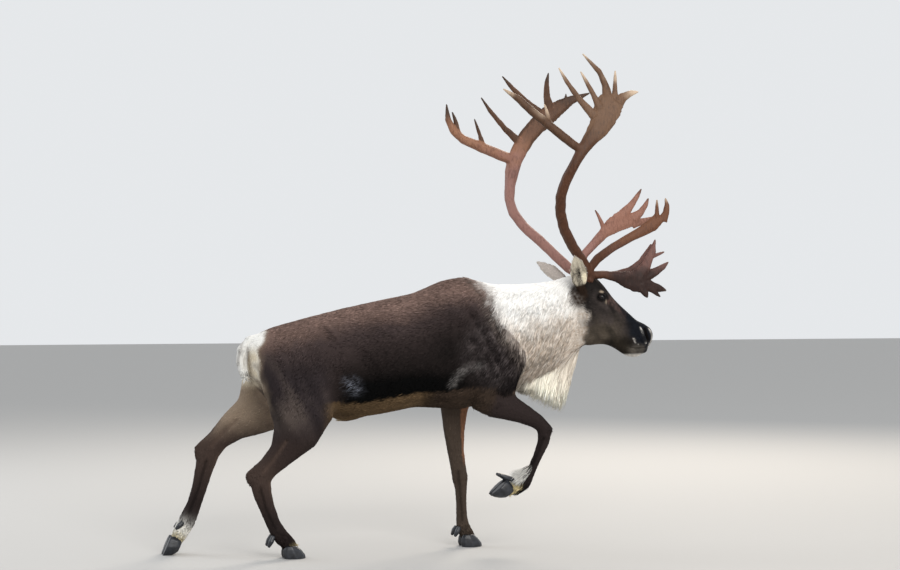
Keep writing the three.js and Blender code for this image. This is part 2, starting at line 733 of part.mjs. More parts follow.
function meshOf(name, body, material) {
  const { vertProperties, triVerts } = body.getMesh();
  const geometry = new THREE.BufferGeometry();
  geometry.setAttribute("position", new THREE.BufferAttribute(vertProperties, 3));
  geometry.setIndex(new THREE.BufferAttribute(triVerts, 1));
  geometry.computeVertexNormals();
  const mesh = new THREE.Mesh(geometry, material);
  mesh.name = name;
  return mesh;
}

const animal = new THREE.Group();

function keep(bodies, material) {
  for (const [name, body] of Object.entries(bodies)) {
    animal.add(meshOf(name, body, material));
  }
}

// Trunk, neck and head are one form, sawn at the shoulder and behind the ears.
const sheath = solid(sweep(sheathStations, sideways, flats.small));
const form = joined([trunkForm(), neckForm(), headForm(), sheath]);
const neckRoot = new THREE.Vector3(365, 0, 930);
const neckRootFacing = new THREE.Vector3(0.9, 0, 0.44).normalize();
const [front, back] = sawn(form, neckRoot, neckRootFacing);
const headRoot = new THREE.Vector3(715, 0, 1050);
const headRootFacing = new THREE.Vector3(0.99, 0.02, -0.139).normalize();
const [headWhole, neckWhole] = sawn(front, headRoot, headRootFacing);

const [rightHeelBone, leftHeelBone] = [rightHeel, leftHeel].map((stations) =>
  solid(sweep(stations, sideways, flats.small)),
);
const legs = {
  fore_left: legSawn(leftForeleg, ["elbow", "knee", "fetlock"]),
  fore_right: legSawn(rightForeleg, ["forearm", "knee", "fetlock"]),
  hind_left: legSawn(leftHindleg, ["stifle", "hock", "fetlock"], [leftHeelBone]),
  hind_right: legSawn(rightHindleg, ["stifle", "hock", "fetlock"], [rightHeelBone]),
};
const legTops = Object.values(legs).map(([top]) => top);
keep({ trunk: joined([back, ...muscleForms(), ...legTops]) }, finishes.coat);

const forelegRoom = [leftForeleg, rightForeleg].map((stations) => legForm(stations, clearance));
const shoulderRoom = joined([...muscleForms(clearance), ...forelegRoom]);
const trunkRoom = trunkForm(clearance).add(joined(muscleForms(clearance)));
const maneRoom = joined([trunkForm(clearance), neckForm(clearance), headForm(clearance), shoulderRoom]);
keep({ throat_mane: without(solid(loft(maneStations, flats.mane)), [maneRoom]) }, finishes.paleCoat);
keep({ tail: without(solid(sweep(tailStations, sideways, flats.tail)), [trunkRoom]) }, finishes.paleCoat);

const antlers = {
  ...antler(1, leftBeam, leftCrown, leftRear, leftBez, leftBrow),
  ...antler(-1, rightBeam, rightCrown, rightRear, rightBez, rightBrow),
};
keep(antlers, finishes.horn);

const headFittings = [
  ear(1, clearance),
  ear(-1, clearance),
  eye(1, clearance),
  eye(-1, clearance),
  antlerRoom(leftBeam, leftBez, leftBrow),
  antlerRoom(rightBeam, rightBez, rightBrow),
];
keep({ neck: without(neckWhole, [shoulderRoom, ...headFittings]) }, finishes.paleCoat);
keep({ head: without(headWhole, headFittings) }, finishes.darkCoat);
keep({ ear_left: ear(1), ear_right: ear(-1) }, finishes.coat);
keep({ eye_left: eye(1), eye_right: eye(-1) }, finishes.eye);

for (const [tag, foot] of Object.entries(feet)) {
  const [, upper, cannon, pastern] = legs[tag];
  const fittings = [1, -1].flatMap((side) => [hoof(foot, side, clearance), dewclaw(foot, side, clearance)]);
  keep(
    {
      [`leg_${tag}_upper`]: without(upper, [trunkRoom]),
      [`leg_${tag}_cannon`]: without(cannon, fittings),
      [`leg_${tag}_pastern`]: without(pastern, fittings),
    },
    finishes.legCoat,
  );
  keep(
    {
      [`hoof_${tag}_a`]: hoof(foot, 1),
      [`hoof_${tag}_b`]: hoof(foot, -1),
      [`dewclaw_${tag}_a`]: without(dewclaw(foot, 1), [hoof(foot, 1, clearance)]),
      [`dewclaw_${tag}_b`]: without(dewclaw(foot, -1), [hoof(foot, -1, clearance)]),
    },
    finishes.hoof,
  );
}

// The middle of the animal's box stands over the origin.
const box = new THREE.Box3().setFromObject(animal);
const centre = box.getCenter(new THREE.Vector3());
animal.position.set(-centre.x, -centre.y, 0);

const group = new THREE.Group();
group.add(animal);

export default group;
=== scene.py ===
import math
import bpy
import bmesh
import numpy as np
from mathutils import Matrix, Vector
from mathutils.bvhtree import BVHTree


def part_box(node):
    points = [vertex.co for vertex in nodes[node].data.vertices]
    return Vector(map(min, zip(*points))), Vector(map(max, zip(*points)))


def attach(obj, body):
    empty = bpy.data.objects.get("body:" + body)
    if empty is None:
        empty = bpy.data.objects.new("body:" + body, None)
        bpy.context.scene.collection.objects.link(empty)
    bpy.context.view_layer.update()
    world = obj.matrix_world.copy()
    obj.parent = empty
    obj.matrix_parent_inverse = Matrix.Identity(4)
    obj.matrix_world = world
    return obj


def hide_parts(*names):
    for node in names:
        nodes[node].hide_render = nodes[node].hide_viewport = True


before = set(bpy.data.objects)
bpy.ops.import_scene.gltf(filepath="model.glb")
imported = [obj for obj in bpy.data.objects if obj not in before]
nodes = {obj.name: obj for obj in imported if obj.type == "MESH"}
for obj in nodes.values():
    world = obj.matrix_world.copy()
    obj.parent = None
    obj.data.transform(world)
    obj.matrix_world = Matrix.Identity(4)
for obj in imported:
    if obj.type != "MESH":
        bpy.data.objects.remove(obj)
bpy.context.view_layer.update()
dice = np.random.default_rng(4)

# Places are written in the animal's own frame, in metres; the right eye ties it to the CAD model.
rightEyePlace = Vector((0.8172, -0.0719, 1.108))
eyeLow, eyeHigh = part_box("eye_right")
shift = (eyeLow + eyeHigh) / 2 - rightEyePlace
offset = np.array(shift)

# The head has a frame of its own, turned a little to the left: x to the nose, y to its left, z up.
headPlace = np.array([0.742, 0.0, 0.0])
headYaw = math.radians(4)
headCos, headSin = math.cos(headYaw), math.sin(headYaw)

legNames = ["fore_left", "fore_right", "hind_left", "hind_right"]
legNodes = [f"leg_{leg}_{part}" for leg in legNames for part in ("upper", "cannon", "pastern")]
fleshNodes = ["trunk", "neck", "head", "throat_mane", "tail", "ear_left", "ear_right"] + legNodes

# Each leg's own line, from the body to the hoof.
legLines = {
    "fore_left": [(0.205, 0.10, 0.76), (0.183, 0.10, 0.585), (0.194, 0.075, 0.352), (0.204, 0.058, 0.195),
                  (0.207, 0.046, 0.092), (0.238, 0.04, 0.038)],
    "fore_right": [(0.215, -0.138, 0.685), (0.356, -0.151, 0.63), (0.53, -0.152, 0.526),
                   (0.494, -0.151, 0.41), (0.436, -0.15, 0.298), (0.362, -0.15, 0.266)],
    "hind_left": [(-0.56, 0.095, 0.85), (-0.655, 0.119, 0.642), (-0.806, 0.124, 0.548), (-0.918, 0.12, 0.43),
                  (-0.955, 0.116, 0.286), (-1.004, 0.113, 0.154), (-1.056, 0.112, 0.06)],
    "hind_right": [(-0.56, -0.095, 0.85), (-0.553, -0.134, 0.618), (-0.642, -0.144, 0.443),
                   (-0.734, -0.141, 0.335), (-0.702, -0.137, 0.216), (-0.652, -0.132, 0.106),
                   (-0.592, -0.13, 0.042)],
}


# The values of all items of a mesh, as rows of an array.
def rowsOf(items, field, width, kind=np.float32):
    flat = np.empty(len(items) * width, kind)
    items.foreach_get(field, flat)
    return flat.reshape(-1, width)


def pointsOf(mesh):
    return rowsOf(mesh.vertices, "co", 3).astype(float)


def normalsOf(mesh):
    return rowsOf(mesh.vertex_normals, "vector", 3).astype(float)


def edgesOf(mesh):
    return rowsOf(mesh.edges, "vertices", 2, np.int32)


def setPoints(mesh, places):
    mesh.vertices.foreach_set("co", np.ascontiguousarray(places, np.float32).ravel())
    mesh.update()


def writeColours(mesh, name, colours):
    rows = np.concatenate([colours, np.ones((len(colours), 1))], 1)
    tint = mesh.color_attributes.new(name, "FLOAT_COLOR", "POINT")
    tint.data.foreach_set("color", rows.astype(np.float32).ravel())


def writeValues(mesh, name, values):
    layer = mesh.attributes.new(name, "FLOAT", "POINT")
    layer.data.foreach_set("value", values.astype(np.float32))


def unit(vectors):
    return vectors / np.maximum(np.linalg.norm(vectors, axis=-1, keepdims=True), 1e-9)


# Blurs the values at a mesh's points along its edges.
def spread(values, edges, times):
    count = len(values)
    ends = np.concatenate([edges[:, 0], edges[:, 1]])
    others = np.concatenate([edges[:, 1], edges[:, 0]])
    degree = np.maximum(np.bincount(ends, minlength=count), 1)
    values = values.copy()
    for _ in range(times):
        mean = np.stack([np.bincount(ends, values[others, k], count) for k in range(values.shape[1])], 1)
        values = 0.5 * values + 0.5 * mean / degree[:, None]
    return values


def applied(piece):
    bpy.context.view_layer.update()
    mesh = bpy.data.meshes.new_from_object(piece.evaluated_get(bpy.context.evaluated_depsgraph_get()))
    old = piece.data
    piece.modifiers.clear()
    piece.data = mesh
    bpy.data.meshes.remove(old)
    return piece


def newPiece(name, mesh):
    mesh.name = name
    piece = bpy.data.objects.new(name, mesh)
    bpy.context.scene.collection.objects.link(piece)
    return piece


def nodeCopy(name, names):
    merged = bmesh.new()
    for node in names:
        merged.from_mesh(nodes[node].data)
    bmesh.ops.remove_doubles(merged, verts=merged.verts, dist=1e-6)
    mesh = bpy.data.meshes.new(name)
    merged.to_mesh(mesh)
    merged.free()
    return newPiece(name, mesh)


def remeshed(piece, voxel):
    remesh = piece.modifiers.new("remesh", "REMESH")
    remesh.mode = "VOXEL"
    remesh.voxel_size = voxel
    return applied(piece)


weightSteps = 200


def weighted(piece, name, weights):
    group = piece.vertex_groups.new(name=name)
    steps = np.round(weights * weightSteps).astype(int)
    for step in np.unique(steps):
        if step > 0:
            group.add(np.nonzero(steps == step)[0].tolist(), step / weightSteps, "REPLACE")
    return group


def smoothed(piece, times, weights=None):
    smooth = piece.modifiers.new("smooth", "SMOOTH")
    smooth.factor = 0.5
    smooth.iterations = times
    if weights is not None:
        smooth.vertex_group = weighted(piece, "smoothing", weights).name
    applied(piece)
    piece.vertex_groups.clear()
    return piece


def shadeSmooth(mesh):
    mesh.polygons.foreach_set("use_smooth", np.ones(len(mesh.polygons), bool))
    mesh.update()


# Masks from 0 to 1: fade rises between two values, below falls, and ridge stands over 0.
def fade(value, low, high):
    t = np.clip((value - low) / (high - low), 0, 1)
    return t * t * (3 - 2 * t)


def below(value, low, high):
    return 1 - fade(value, low, high)


def ridge(value, width):
    return np.exp(-(value / width) ** 2)


def ellipse(x, z, middleX, middleZ, halfX, halfZ, soft=0.45):
    away = np.sqrt(((x - middleX) / halfX) ** 2 + ((z - middleZ) / halfZ) ** 2)
    return below(away, 1 - soft, 1.0)


def blob(places, centre, radii):
    return below(np.linalg.norm((places - np.array(centre)) / np.array(radii), axis=1), 0, 1)


# How far places are from a line, the share of it beside them (1 for each of its runs), and its direction.
def lineDistance(places, line):
    best = np.full(len(places), 1e9)
    share = np.zeros(len(places))
    direction = np.zeros((len(places), 3))
    line = np.array(line, float)
    for i, (start, end) in enumerate(zip(line[:-1], line[1:])):
        run = end - start
        t = np.clip(((places - start) @ run) / (run @ run), 0, 1)
        away = np.linalg.norm(places - start - t[:, None] * run, axis=1)
        closer = away < best
        best = np.where(closer, away, best)
        share = np.where(closer, i + t, share)
        direction[closer] = run / np.linalg.norm(run)
    return best, share, direction


# How much places lie on a line: a strip has a full part and a soft edge, a trace fades from its middle.
def strip(places, line, full, none):
    return below(lineDistance(places, line)[0], full, none)


def trace(places, line, width):
    return ridge(lineDistance(places, line)[0], width)


# Places times squareOn are the animal as seen from its side.
squareOn = np.array([1, 0, 1])


def mirrored(places):
    return places * np.array([1, -1, 1])


def headFrame(places):
    x, y, z = (places - headPlace).T
    return np.stack([x * headCos + y * headSin, y * headCos - x * headSin, z], 1)


def fromHeadFrame(places):
    x, y, z = places.T
    return np.stack([x * headCos - y * headSin, y * headCos + x * headSin, z], 1) + headPlace


# The skin under the coat. For each kind of flesh: how deep it lies under the CAD surface, in metres, and how
# much of the smoothing it takes.
skinSettings = {
    "voxel": 0.0047,
    "smoothTimes": 320,
    "lastSmoothTimes": 3,
    "blendTimes": 12,
    "mostTriangles": 192000,
    "depths": {"trunk": 0.001, "neck": 0.004, "head": 0.001, "throat_mane": 0.024, "tail": 0.008,
               "ear": 0.0015, "upper": 0.001, "cannon": 0.0, "pastern": 0.003},
    "smoothing": {"trunk": 1.0, "neck": 0.6, "head": 0.03, "throat_mane": 0.28, "tail": 0.06, "ear": 0.03,
                  "upper": 0.20, "cannon": 0.09, "pastern": 0.045},
}


def kindOf(node):
    if node.startswith("leg_"):
        return node.rsplit("_", 1)[1]
    return "ear" if node.startswith("ear") else node


# Finds the flesh node of the CAD model whose surface is nearest to a place, by its number in the list.
class NodeFinder:
    def __init__(self, names):
        corners, faces, self.owner = [], [], []
        for i, name in enumerate(names):
            mesh = nodes[name].data
            start = len(corners)
            corners += [tuple(v.co) for v in mesh.vertices]
            faces += [tuple(start + k for k in p.vertices) for p in mesh.polygons]
            self.owner += [i] * len(mesh.polygons)
        self.tree = BVHTree.FromPolygons(corners, faces)

    def at(self, places):
        find = self.tree.find_nearest
        return np.array([self.owner[find(p)[2]] for p in places.tolist()])


finder = NodeFinder(fleshNodes)
nodeKinds = [kindOf(n) for n in fleshNodes]


def byKind(found, table):
    return np.array([table[k] for k in nodeKinds])[found]


def makeSkin():
    skin = remeshed(nodeCopy("skin", fleshNodes + ["eye_left", "eye_right"]), skinSettings["voxel"])
    found = finder.at(pointsOf(skin.data))
    amounts = np.stack([byKind(found, skinSettings["smoothing"]), byKind(found, skinSettings["depths"])], 1)
    amounts = spread(amounts, edgesOf(skin.data), skinSettings["blendTimes"])
    smoothed(skin, skinSettings["smoothTimes"], amounts[:, 0])
    mesh = skin.data
    setPoints(mesh, pointsOf(mesh) - normalsOf(mesh) * amounts[:, 1:2])
    smoothed(skin, skinSettings["lastSmoothTimes"])
    print("skin remeshed", len(skin.data.vertices))
    return skin


# Head strokes: a line in the head's own frame, its width and its push outwards, the same on both sides.
headStrokes = {
    "cheek muscle": ([(0.085, 0.05, 0.99), (0.12, 0.05, 0.95)], 0.055, 0.007),
    "jaw hollow": ([(0.13, 0.05, 1.0), (0.2, 0.045, 0.955)], 0.03, -0.004),
    "cheek ridge": ([(0.08, 0.07, 1.062), (0.15, 0.055, 1.03), (0.21, 0.045, 0.995)], 0.018, 0.004),
    "nose side hollow": ([(0.14, 0.04, 1.07), (0.22, 0.04, 1.015)], 0.022, -0.004),
    "brow ridge": ([(0.035, 0.075, 1.135), (0.07, 0.08, 1.14), (0.1, 0.07, 1.122)], 0.018, 0.005),
    "under the eye": ([(0.05, 0.078, 1.078), (0.09, 0.07, 1.075)], 0.014, -0.003),
    "tear pit": ([(0.098, 0.068, 1.092), (0.112, 0.062, 1.08)], 0.008, -0.004),
    "muzzle swell": ([(0.275, 0.045, 0.93), (0.3, 0.045, 0.92)], 0.045, 0.005),
    "muzzle waist": ([(0.225, 0.04, 0.97), (0.215, 0.04, 0.9)], 0.03, -0.004),
    "nostril": ([(0.302, 0.04, 0.958), (0.303, 0.046, 0.936), (0.314, 0.044, 0.912)], 0.013, -0.018),
    "nostril rim": ([(0.278, 0.045, 0.972), (0.286, 0.05, 0.938), (0.302, 0.05, 0.900)], 0.008, 0.004),
    "outer rim": ([(0.326, 0.034, 0.966), (0.340, 0.030, 0.93), (0.336, 0.034, 0.898)], 0.009, 0.004),
    "nose front": ([(0.348, 0.012, 0.955), (0.352, 0.012, 0.92), (0.340, 0.012, 0.896)], 0.040, 0.007),
    "chin front": ([(0.318, 0.0, 0.870), (0.312, 0.02, 0.868)], 0.030, 0.006),
    "nostril fold": ([(0.262, 0.05, 0.952), (0.266, 0.05, 0.925), (0.282, 0.05, 0.9)], 0.008, -0.004),
    "mouth": ([(0.335, 0.0, 0.884), (0.325, 0.03, 0.882), (0.295, 0.045, 0.876), (0.25, 0.045, 0.872),
               (0.215, 0.042, 0.88)], 0.007, -0.006),
    "lower lip": ([(0.315, 0.02, 0.862), (0.28, 0.035, 0.856), (0.24, 0.036, 0.856)], 0.014, 0.003),
    "nose groove": ([(0.345, 0.0, 0.94), (0.342, 0.0, 0.9)], 0.006, -0.003),
    "jaw edge": ([(0.05, 0.045, 0.9), (0.12, 0.04, 0.895), (0.19, 0.035, 0.87)], 0.022, 0.003),
}

# Body strokes, in the animal's frame, and whether they are on both sides.
bodyStrokes = {
    "flank fold": ([(-0.36, 0.19, 0.66), (-0.44, 0.16, 0.6), (-0.5, 0.15, 0.54)], 0.035, 0.006, True),
    "thigh line": ([(-0.62, 0.15, 0.86), (-0.6, 0.18, 0.76), (-0.6, 0.18, 0.66)], 0.03, -0.006, True),
    "haunch": ([(-0.52, 0.17, 0.86), (-0.5, 0.19, 0.76)], 0.09, 0.008, True),
    "hip bone": ([(-0.44, 0.13, 0.98), (-0.42, 0.15, 0.95)], 0.035, 0.006, True),
    "loin hollow": ([(-0.33, 0.19, 0.85), (-0.28, 0.2, 0.78)], 0.07, -0.007, True),
    "shoulder back edge": ([(0.13, 0.2, 1.02), (0.12, 0.22, 0.9), (0.13, 0.22, 0.78)], 0.035, -0.006, True),
    "blade ridge": ([(0.2, 0.16, 1.06), (0.27, 0.19, 0.93), (0.33, 0.2, 0.83)], 0.035, 0.007, True),
    "elbow crease": ([(0.15, -0.2, 0.74), (0.18, -0.2, 0.68), (0.25, -0.2, 0.64)], 0.018, -0.006, False),
}

# Leg strokes, seen square-on so that they mark both sides of a leg: grooves beside the bones, and knees.
legStrokes = {
    "left fore cannon": ([(0.186, 0, 0.33), (0.196, 0, 0.21), (0.199, 0, 0.12)], 0.008, -0.0035),
    "right fore cannon": ([(0.512, 0, 0.492), (0.486, 0, 0.42), (0.444, 0, 0.34)], 0.008, -0.0035),
    "left hind cannon": ([(-0.930, 0, 0.40), (-0.964, 0, 0.28), (-1.004, 0, 0.18)], 0.008, -0.0035),
    "right hind cannon": ([(-0.736, 0, 0.30), (-0.710, 0, 0.21), (-0.672, 0, 0.13)], 0.008, -0.0035),
    "left hamstring": ([(-0.800, 0, 0.575), (-0.855, 0, 0.525), (-0.905, 0, 0.465)], 0.016, -0.005),
    "right hamstring": ([(-0.630, 0, 0.50), (-0.675, 0, 0.43), (-0.722, 0, 0.372)], 0.016, -0.005),
    "left knee": ([(0.196, 0, 0.375), (0.198, 0, 0.345)], 0.026, 0.003),
    "right knee": ([(0.527, 0, 0.530), (0.520, 0, 0.505)], 0.026, 0.003),
}


def stroke(places, normals, line, width, push, both=False):
    amount = strip(places, line, 0, width)
    if both:
        amount = np.maximum(amount, strip(mirrored(places), line, 0, width))
    return normals * (amount * push)[:, None]


def strokeMoves(places, normals):
    move = np.zeros_like(places)
    local = headFrame(places)
    onHead = local[:, 0] > -0.02
    for line, width, push in headStrokes.values():
        move[onHead] += stroke(local[onHead], normals[onHead], line, width, push, True)
    for line, width, push, both in bodyStrokes.values():
        move += stroke(places, normals, line, width, push, both)
    for line, width, push in legStrokes.values():
        move += stroke(places * squareOn, normals, line, width, push)
    return move


# The ball, its place in the head's frame, the tilt, half length and heights of the almond opening, the lids'
# rim and the fold above it with their places out from the opening, how far the skin in the opening is sunk
# into the ball, and how far round the eye the skin is moved and made fine.
eyeSettings = {
    "radius": 0.0158,
    "place": (0.070, 0.077, 1.108),
    "tilt": math.radians(-24),
    "halfLength": 0.0150,
    "upper": 0.0085,
    "lower": 0.0068,
    "rim": 0.0028,
    "rimSwell": 0.0012,
    "rimPlace": 0.003,
    "foldDepth": 0.0022,
    "foldPlace": 0.0085,
    "lidSlope": 0.28,
    "sunk": 0.0035,
    "reach": 0.034,
    "fineReach": 0.036,
}


# How far a spot on the eye lies outside the almond opening; inside it, the value is below 0.
def almond(along, up):
    s = eyeSettings
    t = np.clip(np.abs(along) / s["halfLength"], 0, 1.6)
    arch = np.clip(1 - t * t, -0.6, 1)
    return np.maximum(up - s["upper"] * arch, -s["lower"] * arch - up)


def openEyes(places):
    s = eyeSettings
    local = headFrame(places)
    moved = local.copy()
    tiltCos, tiltSin = math.cos(s["tilt"]), math.sin(s["tilt"])
    for side in (1, -1):
        ray = local - np.array([s["place"][0], side * s["place"][1], s["place"][2]])
        radius = np.maximum(np.linalg.norm(ray, axis=1), 1e-6)
        scale = s["radius"] / radius
        along = (ray[:, 0] * tiltCos + ray[:, 2] * tiltSin) * scale
        up = (ray[:, 2] * tiltCos - ray[:, 0] * tiltSin) * scale
        edge = almond(along, up)
        inside = below(edge, -0.0012, 0.0006)
        lid = s["radius"] + s["rim"] + s["rimSwell"] * ridge(edge - s["rimPlace"], 0.003)
        fold = s["foldDepth"] * ridge(edge - s["foldPlace"], 0.0022)
        target = lid - fold * (up > 0) + s["lidSlope"] * np.maximum(edge, 0)
        wanted = target * (1 - inside) + (s["radius"] - s["sunk"]) * inside
        reach = below(radius, s["radius"] * 1.3, s["reach"]) * fade(side * ray[:, 1] / radius, -0.1, 0.25)
        share = np.where(inside > 0.02, reach, reach * below(edge, 0.006, 0.016))
        outwards = (wanted - radius) * share
        moved += np.where((reach > 0)[:, None], ray / radius[:, None] * outwards[:, None], 0)
    return fromHeadFrame(moved)


def refine(mesh, chosen):
    work = bmesh.new()
    work.from_mesh(mesh)
    work.verts.ensure_lookup_table()
    inside = chosen(pointsOf(mesh) - offset)
    edges = [e for e in work.edges if inside[e.verts[0].index] and inside[e.verts[1].index]]
    bmesh.ops.subdivide_edges(work, edges=edges, cuts=1, use_grid_fill=True)
    work.to_mesh(mesh)
    work.free()


def onFace(places):
    return (headFrame(places)[:, 0] > 0.02) & (places[:, 2] < 1.2)


def nearEyes(places):
    away = [np.linalg.norm(headFrame(p) - np.array(eyeSettings["place"]), axis=1)
            for p in (places, mirrored(places))]
    return np.minimum(*away) < eyeSettings["fineReach"]


def sculptSkin(skin):
    mesh = skin.data
    refine(mesh, onFace)
    refine(mesh, nearEyes)
    places = pointsOf(mesh) - offset
    places = openEyes(places + strokeMoves(places, normalsOf(mesh)))
    setPoints(mesh, places + offset)
    print("skin sculpted", len(mesh.vertices))
    triangles = sum(len(p.vertices) - 2 for p in mesh.polygons)
    decimate = skin.modifiers.new("thin", "DECIMATE")
    decimate.ratio = min(1.0, skinSettings["mostTriangles"] / triangles)
    applied(skin)
    shadeSmooth(skin.data)
    print("skin thinned", len(skin.data.vertices), len(skin.data.polygons))


def unwrapSkin(skin):
    bpy.context.view_layer.objects.active = skin
    skin.select_set(True)
    skin.data.uv_layers.new(name="OFBake")
    bpy.ops.object.mode_set(mode="EDIT")
    bpy.ops.mesh.select_all(action="SELECT")
    bpy.ops.uv.smart_project(angle_limit=math.radians(70), island_margin=0.001)
    bpy.ops.object.mode_set(mode="OBJECT")
    skin.select_set(False)
    print("skin unwrapped")


def linear(colour):
    values = np.array(colour, float) / 255
    return np.where(values <= 0.04045, values / 12.92, ((values + 0.055) / 1.055) ** 2.4)


def linearAll(colours):
    return {name: linear(value) for name, value in colours.items()}


# Colours of the coat, as red, green and blue from 0 to 255.
coatColours = linearAll({
    "body": (66, 56, 55),
    "back": (120, 99, 91),
    "bodySide": (46, 39, 38),
    "lowFlank": (28, 24, 23),
    "flankBandAndShade": (3, 3, 3),
    "belly": (96, 78, 57),
    "chest": (62, 51, 43),
    "shoulder": (84, 77, 77),
    "shoulderPale": (138, 126, 118),
    "darkMottleAndShade": (22, 19, 20),
    "streak": (134, 138, 150),
    "elbowStreak": (164, 160, 158),
    "neck": (251, 250, 247),
    "neckLow": (192, 173, 153),
    "neckStreak": (146, 128, 112),
    "fringe": (253, 248, 233),
    "rump": (247, 247, 243),
    "rumpCream": (226, 214, 190),
    "rumpShade": (186, 186, 184),
    "rumpLineAndCreaseShadow": (112, 98, 88),
    "buttock": (146, 130, 113),
    "thigh": (50, 44, 46),
    "thighHighlight": (94, 84, 79),
    "innerThigh": (150, 132, 115),
    "leg": (54, 45, 43),
    "legDark": (32, 27, 27),
    "hock": (94, 78, 69),
    "foreleg": (52, 44, 43),
    "forelegFront": (150, 106, 80),
    "forelegInner": (82, 71, 62),
    "feet": (214, 198, 152),
    "feetWhite": (250, 248, 242),
    "head": (62, 56, 54),
    "brow": (27, 25, 24),
    "bridge": (122, 94, 86),
    "muzzle": (24, 27, 33),
    "cheek": (88, 80, 70),
    "jaw": (36, 32, 25),
    "eyePatch": (176, 160, 140),
    "lids": (16, 14, 14),
    "chinGrey": (92, 87, 80),
    "chin": (238, 234, 228),
    "ear": (196, 188, 170),
    "earDark": (40, 36, 33),
    "earBright": (250, 240, 212),
    "earBack": (206, 198, 192),
    "earBase": (46, 35, 28),
    "sheath": (206, 190, 160),
})


# A soft irregular pattern from about -1 to 1, with features of the given size.
def wave(places, size, seed):
    turn = np.random.default_rng(seed)
    total = np.zeros(len(places))
    for _ in range(5):
        direction = turn.normal(size=3)
        direction /= np.linalg.norm(direction)
        pace = 2 * math.pi / (size * turn.uniform(0.7, 1.4))
        total += np.sin(places @ direction * pace + turn.uniform(0, 6.28))
    return total / 5 ** 0.5 / 1.4


# Colours laid over one another, each as far as its mask says.
class Paint:
    def __init__(self, colours, name, count):
        self.colours = colours
        self.tones = np.tile(colours[name], (count, 1))

    def cover(self, tones, mask):
        self.tones = self.tones * (1 - mask[:, None]) + tones * mask[:, None]

    def lay(self, name, mask):
        self.cover(self.colours[name], mask)

    def vary(self, amount):
        self.tones = self.tones * np.exp(amount)[:, None]


# Edges of the markings, each as a run of places along the body or up it.
backLine = {"x": [-0.75, -0.6, -0.34, -0.1, 0.15, 0.3], "z": [0.95, 1.0, 1.066, 1.1, 1.18, 1.18]}
neckEdge = {"z": [0.60, 0.70, 0.742, 0.812, 0.869, 0.922, 1.009, 1.096, 1.16, 1.2],
            "x": [0.33, 0.355, 0.445, 0.475, 0.448, 0.392, 0.344, 0.312, 0.288, 0.27]}
rumpEdge = {"z": [0.60, 0.645, 0.738, 0.78, 0.822, 0.877, 0.927, 0.977, 1.0],
            "x": [-0.70, -0.705, -0.722, -0.734, -0.738, -0.731, -0.713, -0.682, -0.66]}
bandEdge = {"x": [-0.40, -0.37, -0.268, -0.156, -0.05, 0.086, 0.2],
            "top": [0.70, 0.745, 0.757, 0.768, 0.776, 0.787, 0.77],
            "bottom": [0.665, 0.656, 0.660, 0.678, 0.698, 0.702, 0.72]}
faceEdge = {"z": [0.90, 0.9775, 1.021, 1.0645, 1.108, 1.165, 1.2],
            "x": [0.006, 0.010, 0.014, -0.008, -0.018, -0.012, -0.010]}

# Lines of the markings as seen square-on: the tail's middle, the thin brown line down it, the painted shadow
# in the crease in front of it, the painted shade in the crease before the shoulder and the pale arc over the
# elbow.
tailLine = [(-0.70, 0, 0.94), (-0.752, 0, 0.925), (-0.788, 0, 0.885), (-0.796, 0, 0.838), (-0.789, 0, 0.792),
            (-0.774, 0, 0.756)]
tailStripe = [(-0.771, 0, 0.952), (-0.793, 0, 0.905), (-0.806, 0, 0.854), (-0.812, 0, 0.798)]
tailCrease = [(-0.769, 0, 0.892), (-0.765, 0, 0.84), (-0.758, 0, 0.789), (-0.741, 0, 0.737)]
shoulderCrease = [(0.33, 0, 0.70), (0.40, 0, 0.735), (0.452, 0, 0.80)]
elbowArc = [(0.112, 0, 0.735), (0.128, 0, 0.772), (0.165, 0, 0.805), (0.235, 0, 0.815)]


# The places to be coloured, with the patterns that several markings share. The head's own places have both
# sides folded onto one.
class Spots:
    def __init__(self, places, normals, kinds):
        self.places, self.normals, self.kinds = places, normals, kinds
        self.x, self.y, self.z = places.T
        self.flat = places * squareOn
        self.side = np.abs(self.y)
        self.rough = wave(places, 0.05, 1)
        self.fine = wave(places, 0.016, 2)
        self.broad = wave(places, 0.24, 5)
        self.mottle = np.clip(0.5 + 0.45 * wave(places, 0.03, 3) + 0.25 * self.fine, 0, 1)
        self.hairs = wave(places * np.array([0.3, 1, 1]), 0.011, 6)
        local = headFrame(places)
        self.hx, self.hy, self.hz = local[:, 0], np.abs(local[:, 1]), local[:, 2]
        self.head = np.stack([self.hx, self.hy, self.hz], 1)

    def patterned(self, level, fine, rough=0.0):
        return (level + fine * self.fine + rough * self.rough).clip(0, 1)


